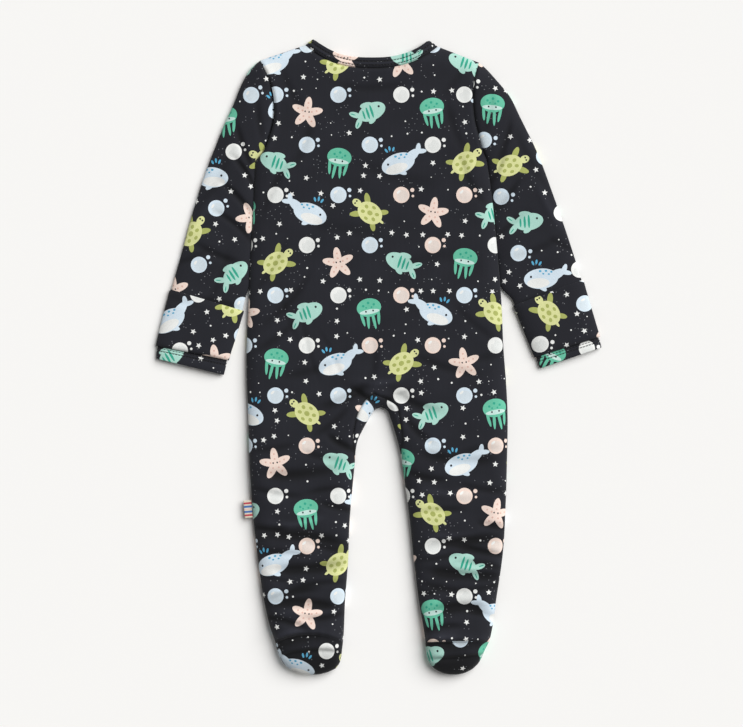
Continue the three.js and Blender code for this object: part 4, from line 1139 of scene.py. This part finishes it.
def hemmed_piece(name, points, cut, size, material, slot, is_ring=False, hollow=None):
    """A closed band of doubled cloth: rows run round its section, and columns along it.

    A ring closes along its columns too, and a strip is closed by a cap across each end. Size is its
    width and length in millimetres, lying flat and doubled.
    """
    rows, columns = points.shape[:2]
    points = np.concatenate([points[..., :2], np.maximum(points[..., 2:], 0)], -1)
    quads = quads_of(rows, columns, 0, wrap_rows=True, wrap_columns=is_ring)
    if not is_ring:
        index = np.arange(rows * columns).reshape(rows, columns)
        for end in (index[:, 0], index[:, -1]):
            front, behind = end[: rows // 2], end[::-1][: rows // 2]
            cap = np.stack([front[:-1], front[1:], behind[1:], behind[:-1]], -1)
            quads = np.vstack([quads, cap])
    if hollow is not None:
        hollow = np.repeat(hollow, columns)
    places = cut_place(cut.reshape(-1, 2), name)
    piece = make_mesh(f"{name}_cloth", points.reshape(-1, 3), quads, material, places, hollow)
    dress(piece, name, slot, size)


def make_back():
    """The back, cut in one from the neck to both heels."""
    grids = []
    for side in SIDES:
        grids += [(upper_grid(side, False), True), (leg_grid(side, side.heel_bow, 0), True)]
    cloth_piece("back", BODY, grids)


def make_front(side):
    """One front, which lies on the table. The right one is raised over the left one's lap."""
    shift = -side.inward * SEAM_GAP / 2
    grids = [(upper_grid(side, True), False), (leg_grid(side, TOE_BOW, shift), False)]
    cloth_piece(f"front_{side.name}", BODY, grids, lift_of(side, True))


def trimmed(distance, places, is_top):
    """A distance from the folded edge, less the gap of a seam measured along the rounded cloth."""
    radius = ROUND_OVER if is_top else ROUND_UNDER
    top, seam = body_heights(places)
    height = top - seam if is_top else seam
    turn = np.arccos(1 - np.minimum(distance, radius) / radius)
    speed = np.hypot(radius * np.sin(turn), height * np.cos(turn))
    rounded = radius * (1 - np.cos(np.maximum(0.02, turn - GUSSET_GAP / speed)))
    return np.where(distance >= radius, distance - GUSSET_GAP, rounded)


def make_gusset():
    """The gusset, folded over the crotch's edge and as wide above as underneath."""
    edges, seams = [], []
    for side in SIDES:
        stations = np.linspace(0, len(side.arch), 60)
        order = slice(None, 0, -1) if side.is_left else slice(None)
        edges.append(arch_at(side.arch_edge, stations)[order])
        seams.append(arch_at(side.arch_seam, stations)[order])
    edge, seam = np.vstack(edges), np.vstack(seams)
    distance = np.linalg.norm(seam - edge, axis=1)
    away = (seam - edge) / distance[:, None]
    shares = np.linspace(0, 1, 14)[:, None, None] ** 1.6
    grids = []
    for is_top in (True, False):
        reach = trimmed(distance, edge, is_top)[:, None]
        grids.append((edge + away * reach * shares, is_top))
    cloth_piece("gusset", BODY, grids)


def make_sole(side):
    """A sole, from the heel's seam on top, round the end of the foot, to the toe's seam underneath."""
    shares = spread(HEEL_Y - FOOT_END_Y, gap=SOLE_ROW_GAP)
    shares = shares * (2 - shares) * 0.25 + shares * 0.75
    heights = mix(HEEL_Y, FOOT_END_Y, shares)
    outer, inner = side.outer_at(heights), side.inner_at(heights)
    grids = []
    for bow, is_top in ((side.heel_bow, True), (TOE_BOW, False)):
        grid = bowed(outer, inner, mix(bow, FOOT_END_BOW, shares), BODY_SHARES)
        down = leftward(grid[0]) * -side.inward
        grid[0, 1:-1] = grid[0, 1:-1] + down[1:-1] * SEAM_GAP * np.sign(-down[1:-1, 1:])
        grids.append((grid, is_top))
    cloth_piece(f"sole_{side.name}", BODY, grids)


# Rows of stitches on the neck band and cuffs, in millimetres from their seams, and their grooves. The
# face between them swells, and turns in at its seam. Their depth times the groove's shade is painted as
# shade in the grooves and light on the swells.
BAND_ROWS, CUFF_ROWS = (2.5, 6.2), (1.9, 4.6)
GROOVE = {"depth": 0.65, "breadth": 0.6, "shade": 4.0}
EDGE_SWELL = 0.2
TURN_IN = {"depth": 0.5, "breadth": 0.8}


def edge_section(width, wall, grooves):
    """Places round the section of a doubled edge: out along its face, round its free edge, and back behind.

    The face swells between its rows of stitches, and each row lies in a groove. Also returns how deep
    each place lies in them, times the groove's shade, which the material paints as shade and light.
    """
    radius = wall / 2
    face = np.linspace(SEAM_GAP, width - radius, 34)
    turn = np.linspace(0, np.pi, 9)[1:-1]
    behind = face[::-3]
    distance = np.concatenate([face, width - radius + radius * np.sin(turn), behind])
    swell = EDGE_SWELL * np.sin(np.pi * face / face[-1])
    for groove in grooves:
        swell = swell - GROOVE["depth"] * bell(face - groove, GROOVE["breadth"])
    swell = swell - TURN_IN["depth"] * bell(face, TURN_IN["breadth"])
    stand = np.concatenate([swell, radius * (np.cos(turn) - 1), np.full(len(behind), -wall)])
    # Painted shade in the grooves and painted light on the swells, as their depth times the groove's shade.
    hollow = np.concatenate([-swell * GROOVE["shade"], np.zeros(len(turn) + len(behind))])
    return distance, stand, hollow


def neck_stations(side, is_front):
    """Half of the band: its line along the neck seam from the shoulder, its directions and its widths."""
    shares = np.linspace(0, 1, 70) ** 1.4 * half_neck(is_front)
    line = neck_line(shares if side.is_left else 1 - shares, is_front)
    upward = leftward(line) * side.inward
    to_tip = side.tip - side.neck
    fold = np.linalg.norm(to_tip)
    near = ease(1 - along_line(line) / 6.0)[:, None]
    away = mix(upward, to_tip / fold, near)
    away /= np.linalg.norm(away, axis=1, keepdims=True)
    width = mix(BAND_WIDTH, fold, ease(1 - along_line(line) / 18.0))
    return line, away, width


def make_neck_band():
    """The neck band: from the left front's edge, round the left shoulder, the back and the right shoulder."""
    strips, lengths, at = [], [], 0.0
    reach, stand, hollow = edge_section(BAND_WIDTH, BAND_WALL, BAND_ROWS)
    for side, is_front in ((LEFT, True), (LEFT, False), (RIGHT, False), (RIGHT, True)):
        line, away, width = neck_stations(side, is_front)
        distance = reach[:, None] * (width / BAND_WIDTH)
        places = line + away * distance[..., None]
        points, _ = BODY.cloth(places, not is_front, stand[:, None], lift_of(side, is_front))
        run = np.broadcast_to(along_line(line), distance.shape)
        if is_front == side.is_left:
            points, run, distance = points[:, ::-1], run[:, -1:] - run[:, ::-1], distance[:, ::-1]
        strips.append(points)
        lengths.append(np.stack([run + at, distance], -1))
        at += run.max()
    points, cut = np.concatenate(strips, 1), np.concatenate(lengths, 1)
    hemmed_piece("neck_band", points, cut, (BAND_WIDTH, at), EDGE, "edge_jersey", hollow=hollow)


class Sleeve:
    """A sleeve's form: a flat tube with its fold along the outer edge and its seam along the inner one."""

    def __init__(self, side, stations, creases):
        self.side = side
        hole = on_curve(side.armhole, np.linspace(0, 1, 200))
        self.hole_line = hole + leftward(hole) * (SEAM_GAP * -side.inward)
        down = along_line(side.armhole)
        self.turns = down[HOLE_TURN:] / down[-1]
        self.hole = self.hole_at(SLEEVE_SHARES * self.turns[0])
        self.rows = stations.copy()
        self.rows[0, :2] = self.hole[0]
        self.rows[: UNDERARM_STATION + 1, 2:4] = self.hole_at(self.turns)
        self.at = along_line((self.rows[:, :2] + self.rows[:, 2:4]) / 2)
        self.cuff_at, self.end_at = self.at[CUFF_STATION], self.at[-1]
        self.wrist = np.linalg.norm(self.rows[-1, :2] - self.rows[-1, 2:4])
        outer, inner, _ = self.edges(np.linspace(0, self.end_at + 4, 150))
        inner = np.vstack([self.hole_at(np.linspace(0.4, 0.995, 12) * self.turns[0]), inner])
        lines = [outer, inner[::-1]] if side.is_left else [outer[::-1], inner]
        self.armhole = curve(side.armhole, 2.0)
        seams = [self.armhole, self.rows[CUFF_STATION, :4].reshape(2, 2)]
        self.form = Form(
            lines,
            self.heights,
            lambda p: troughs(p, creases) + seam_relief(p, seams) + waves(p, SLEEVE_SWELL),
        )

    def hole_at(self, shares):
        """Points on the armhole's seam, at shares of its length from the shoulder to the underarm."""
        steps = np.linspace(0, 1, len(self.hole_line))
        return np.stack([np.interp(shares, steps, self.hole_line[:, axis]) for axis in (0, 1)], -1)

    def edges(self, at):
        """The outer and inner edges and the bow at distances down the sleeve, straight on past its end."""
        inside = np.minimum(at, self.end_at)
        row = smooth(inside, self.at, self.rows)
        last = (self.rows[-1] - self.rows[-2]) / (self.at[-1] - self.at[-2])
        row = row + last * (at - inside)[:, None]
        y = row[:, 3]
        touch = SLEEVE_TOUCH * ease((self.side.armhole[-1, 1] - y) / TOUCH_GROWTH) * self.side.inward
        body = self.side.outer_at(y)[:, 0] + touch
        row[:, 2] = mix(row[:, 2], body, ease((y - SLEEVE_LEAVES) / SLEEVE_PARTING))
        on_hole = self.hole_at(np.interp(at, self.at[: UNDERARM_STATION + 1], self.turns))
        beside_hole = (at < self.at[UNDERARM_STATION])[:, None]
        return row[:, :2], np.where(beside_hole, on_hole, row[:, 2:4]), row[:, 4]

    def heights(self, places):
        """The sleeve's own heights, eased to the chest's towards the armhole."""
        _, _, gap = nearest(places, self.armhole)
        share = smooth(np.linalg.norm(gap, axis=-1), CHEST_SHARE[:, 0], CHEST_SHARE[:, 1])
        top, seam = body_heights(places)
        return mix(SLEEVE_BULK["top"], top, share), mix(SLEEVE_BULK["seam"], seam, share)

    def grid(self, at):
        """Rows across the sleeve at distances down it, the first ones bowed as the armhole is."""
        outer, inner, bow = self.edges(at)
        shares = SLEEVE_SHARES
        straight = mix(self.hole[0], self.hole[-1], shares[:, None])
        left_hole = ease((at - self.at[1]) / (self.at[UNDERARM_STATION] - self.at[1]))
        held = bow[:, None] * (1 - shares**3 * left_hole[:, None])
        grid = mix(outer[:, None], inner[:, None], shares[:, None])
        return grid + (self.hole - straight) * held[..., None]

    def folded(self, cut):
        """Mirrors the cut of the cloth underneath, which runs on from the fold, across the fold's line."""
        start, end = self.rows[UNDERARM_STATION + 2, :2], self.rows[-1, :2]
        axis = (end - start) / np.linalg.norm(end - start)
        gap = cut - start
        return start + 2 * (gap * axis).sum(-1, keepdims=True) * axis - gap


def make_sleeve(sleeve):
    """The sleeve's tube from the armhole to the cuff, one piece folded along its outer edge."""
    grid = sleeve.grid(spread(sleeve.cuff_at) * sleeve.cuff_at)
    cloth_piece(f"sleeve_{sleeve.side.name}", sleeve.form, [(grid, True), (grid, False)], fold=sleeve.folded)


def make_cuff(sleeve):
    """A cuff, doubled over at its open end."""
    width = sleeve.end_at - sleeve.cuff_at
    distance, stand, hollow = edge_section(width, CUFF_WALL, CUFF_ROWS)
    grid = sleeve.grid(sleeve.cuff_at + distance)
    top, top_cut = sleeve.form.cloth(grid, True, stand[:, None])
    under, under_cut = sleeve.form.cloth(grid, False, stand[:, None])
    points = np.concatenate([top, under[:, -2:0:-1]], 1)
    cut = np.concatenate([top_cut, sleeve.folded(under_cut)[:, -2:0:-1]], 1)
    size = (width, 2 * sleeve.wrist)
    hemmed_piece(f"cuff_{sleeve.side.name}", points, cut, size, EDGE, "edge_jersey", True, hollow)


# The mitten's rolled hem: its radius, and the swell of the cloth turned in behind it.
MITTEN_HEM = {"radius": 0.6, "back": 3.4, "breadth": 2.2, "swell": 0.25}


def make_mitten(sleeve):
    """The mitten flap: a second layer over the back of the sleeve's end, hemmed at its free edge."""
    start, end = sleeve.at[MITTEN_STATION], sleeve.cuff_at
    radius, under = MITTEN_HEM["radius"], LAYER_GAP
    face = np.linspace(end, start + radius, 20)
    turn = np.linspace(0, np.pi, 9)[1:-1]
    at = np.concatenate([face, start + radius - radius * np.sin(turn), face[::-1]])
    hem = MITTEN_HEM["swell"] * bell(face - start - MITTEN_HEM["back"], MITTEN_HEM["breadth"])
    stand = np.concatenate([
        under + 2 * radius + hem, under + radius + radius * np.cos(turn), np.full(len(face), under),
    ])
    points, cut = sleeve.form.cloth(sleeve.grid(at), True, stand[:, None])
    size = (end - start, sleeve.wrist)
    hemmed_piece(f"mitten_{sleeve.side.name}", points, cut, size, PRINT, "print_jersey")


def make_side_tab():
    """The tab at the left side seam: tape folded double, its two layers a hair apart inside the fold."""
    thick, run = TAB["thick"], np.linspace(0, 1, 8)
    centre = TAB["reach"] - thick / 2
    bend = np.linspace(np.pi / 2, -np.pi / 2, 13)[1:-1]

    def path(radius):
        """Out along the upper layer, half round a circle, and back along the lower layer."""
        end = np.stack([centre + radius * np.cos(bend), radius * np.sin(bend)], 1)
        upper = np.stack([run * centre, np.full(len(run), radius)], 1)
        return np.vstack([upper, end, upper[::-1] * (1, -1)])

    section = np.vstack([path(thick / 2), path(thick / 2 - TAB["layer"])[::-1]])
    side, out = np.meshgrid(np.linspace(0, TAB["width"], 18), section[:, 0])
    up = section[:, 1:] + np.zeros(len(side[0]))
    x, y = turned(-out, side - TAB["width"] / 2, TAB["turn"])
    seam = smooth(TAB["y"], BULK[:, 0], BULK[:, 2])
    points = np.stack([x + TAB["x"], y + TAB["y"], up + seam], -1)
    cut = np.stack([along_line(section)[:, None] + np.zeros(len(side[0])), side], -1)
    hemmed_piece("side_tab", points, cut, (TAB["width"], 2 * TAB["reach"]), TAPE, "tape")


# A stitch: its length and the gap to the next, half its thickness, and how far it sinks into the cloth
# and stands over it. Its spindle is given by shares of its length and thickness.
STITCH = {"length": 2.1, "gap": 0.8, "half": 0.34, "sunk": 0.1, "stand": -0.1}
SPINDLE_SHARES, SPINDLE_GIRTH = np.array([0, 0.14, 0.5, 0.86, 1]), np.array([0.25, 0.8, 1, 0.8, 0.25])
LOWEST_THREAD = 0.02


def stitch_row(form, line, is_top, lift=None):
    """Points of a row of stitches, each a small spindle of thread lying along a line over the cloth."""
    at = along_line(line)
    step = STITCH["length"] + STITCH["gap"]
    middles = np.arange(step / 2, at[-1] - step / 2, step)
    start, end = (
        form.cloth(smooth(middles + half, at, line), is_top, STITCH["stand"], lift)[0]
        for half in (-STITCH["length"] / 2, STITCH["length"] / 2)
    )
    along = end - start
    along /= np.linalg.norm(along, axis=1, keepdims=True)
    side = np.cross(along, (0, 0, 1.0))
    side /= np.linalg.norm(side, axis=1, keepdims=True)
    up = np.cross(side, along)
    turns = np.arange(6) * np.pi / 3
    spine = start[:, None] + (end - start)[:, None] * SPINDLE_SHARES[:, None]
    ring = side[:, None] * np.cos(turns)[:, None] + up[:, None] * np.sin(turns)[:, None]
    points = spine[:, :, None] + ring[:, None] * (SPINDLE_GIRTH * STITCH["half"])[:, None, None]
    points = points - up[:, None, None] * STITCH["sunk"] * (1 if is_top else -1)
    points[..., 2] = np.maximum(points[..., 2], LOWEST_THREAD)
    return points


def make_stitches(name, rows):
    """All the stitches of one made-up edge, as one mesh of spindles with closed ends."""
    spindles = np.concatenate(rows)
    count, rings, sides = spindles.shape[:3]
    caps = np.array([[0, 1, 2, 3], [0, 3, 4, 5]])
    one = np.vstack([quads_of(rings, sides, wrap_columns=True), caps[:, ::-1], caps + (rings - 1) * sides])
    quads = (one[None] + (np.arange(count) * rings * sides)[:, None, None]).reshape(-1, 4)
    piece = make_mesh(name, spindles.reshape(-1, 3), quads, THREAD)
    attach(piece, "root")


def neck_stitches():
    """Two rows of stitches round the neck band."""
    rows = []
    for side in SIDES:
        for is_front in (False, True):
            line, away, width = neck_stations(side, is_front)
            for row in BAND_ROWS:
                places = line + away * (width * row / BAND_WIDTH)[:, None]
                rows.append(stitch_row(BODY, places, not is_front, lift_of(side, is_front)))
    make_stitches("stitches_neck", rows)


def cuff_stitches(sleeve):
    """Two rows of stitches round a cuff, over the top and underneath."""
    rows = []
    for is_top in (True, False):
        for row in CUFF_ROWS:
            line = sleeve.grid(np.array([sleeve.cuff_at + row]))[0]
            rows.append(stitch_row(sleeve.form, line, is_top))
    make_stitches(f"stitches_cuff_{sleeve.side.name}", rows)


# The floor's half width and its height, in metres.
FLOOR_HALF, FLOOR_Z = 6.0, -0.0004


def make_floor():
    """A pale, plain surface under the suit."""
    values = {"Base Color": paint(250, 249, 247), "Roughness": 0.9, "Specular IOR Level": 0.1}
    mesh = bpy.data.meshes.new("floor")
    corners = [(x * FLOOR_HALF, y * FLOOR_HALF, FLOOR_Z) for x, y in ((-1, -1), (1, -1), (1, 1), (-1, 1))]
    mesh.from_pydata(corners, [], [(0, 1, 2, 3)])
    mesh.materials.append(Tree("floor").surface(values))
    placed("floor", mesh)


# The photograph's frame over the suit: its width and middle in millimetres on the pattern. The camera
# hangs at a height in metres over the middle of the suit's thickness.
VIEW_WIDTH, VIEW_MIDDLE = 696.6, (-6.5, 294.4)
CAMERA_HEIGHT, SUIT_MIDDLE, SENSOR = 2.6, 0.008, 36.0


def add_camera():
    """A long lens straight above, framed as the photograph is."""
    camera = bpy.data.cameras.new("camera")
    camera.sensor_width = SENSOR
    camera.lens = SENSOR * CAMERA_HEIGHT / (VIEW_WIDTH * MM)
    holder = placed("camera", camera)
    middle = (np.array(VIEW_MIDDLE) - PATTERN_ORIGIN[:2]) * MM
    holder.location = (*middle, CAMERA_HEIGHT + SUIT_MIDDLE)
    bpy.context.scene.camera = holder


WORLD_COLOUR, WORLD_STRENGTH = (1.0, 0.995, 0.985, 1), 0.2
KEY_LIGHT = {"place": (1.5, 1.1, 1.9), "softness": 52, "strength": 3.42}


def add_light_and_air():
    """Pale air, and a distant soft light, whose softness is its width in degrees, shining on the suit."""
    world = bpy.data.worlds.new("studio")
    world.use_nodes = True
    background = world.node_tree.nodes["Background"]
    background.inputs["Color"].default_value = WORLD_COLOUR
    background.inputs["Strength"].default_value = WORLD_STRENGTH
    bpy.context.scene.world = world
    lamp = bpy.data.lights.new("key", "SUN")
    lamp.angle = np.radians(KEY_LIGHT["softness"])
    lamp.energy = KEY_LIGHT["strength"]
    light = placed("key", lamp)
    light.location = KEY_LIGHT["place"]
    light.rotation_euler = (-Vector(KEY_LIGHT["place"])).to_track_quat("-Z", "Y").to_euler()
    bpy.context.scene.view_settings.view_transform = "Standard"


ARMS = (Sleeve(LEFT, LEFT_SLEEVE, LEFT_SLEEVE_CREASES), Sleeve(RIGHT, RIGHT_SLEEVE, RIGHT_SLEEVE_CREASES))

add_camera()
make_back()
for side in SIDES:
    make_front(side)
make_gusset()
make_neck_band()
for side in SIDES:
    make_sole(side)
for arm in ARMS:
    for make in (make_sleeve, make_cuff, make_mitten, cuff_stitches):
        make(arm)
neck_stitches()
make_side_tab()
make_floor()
add_light_and_air()
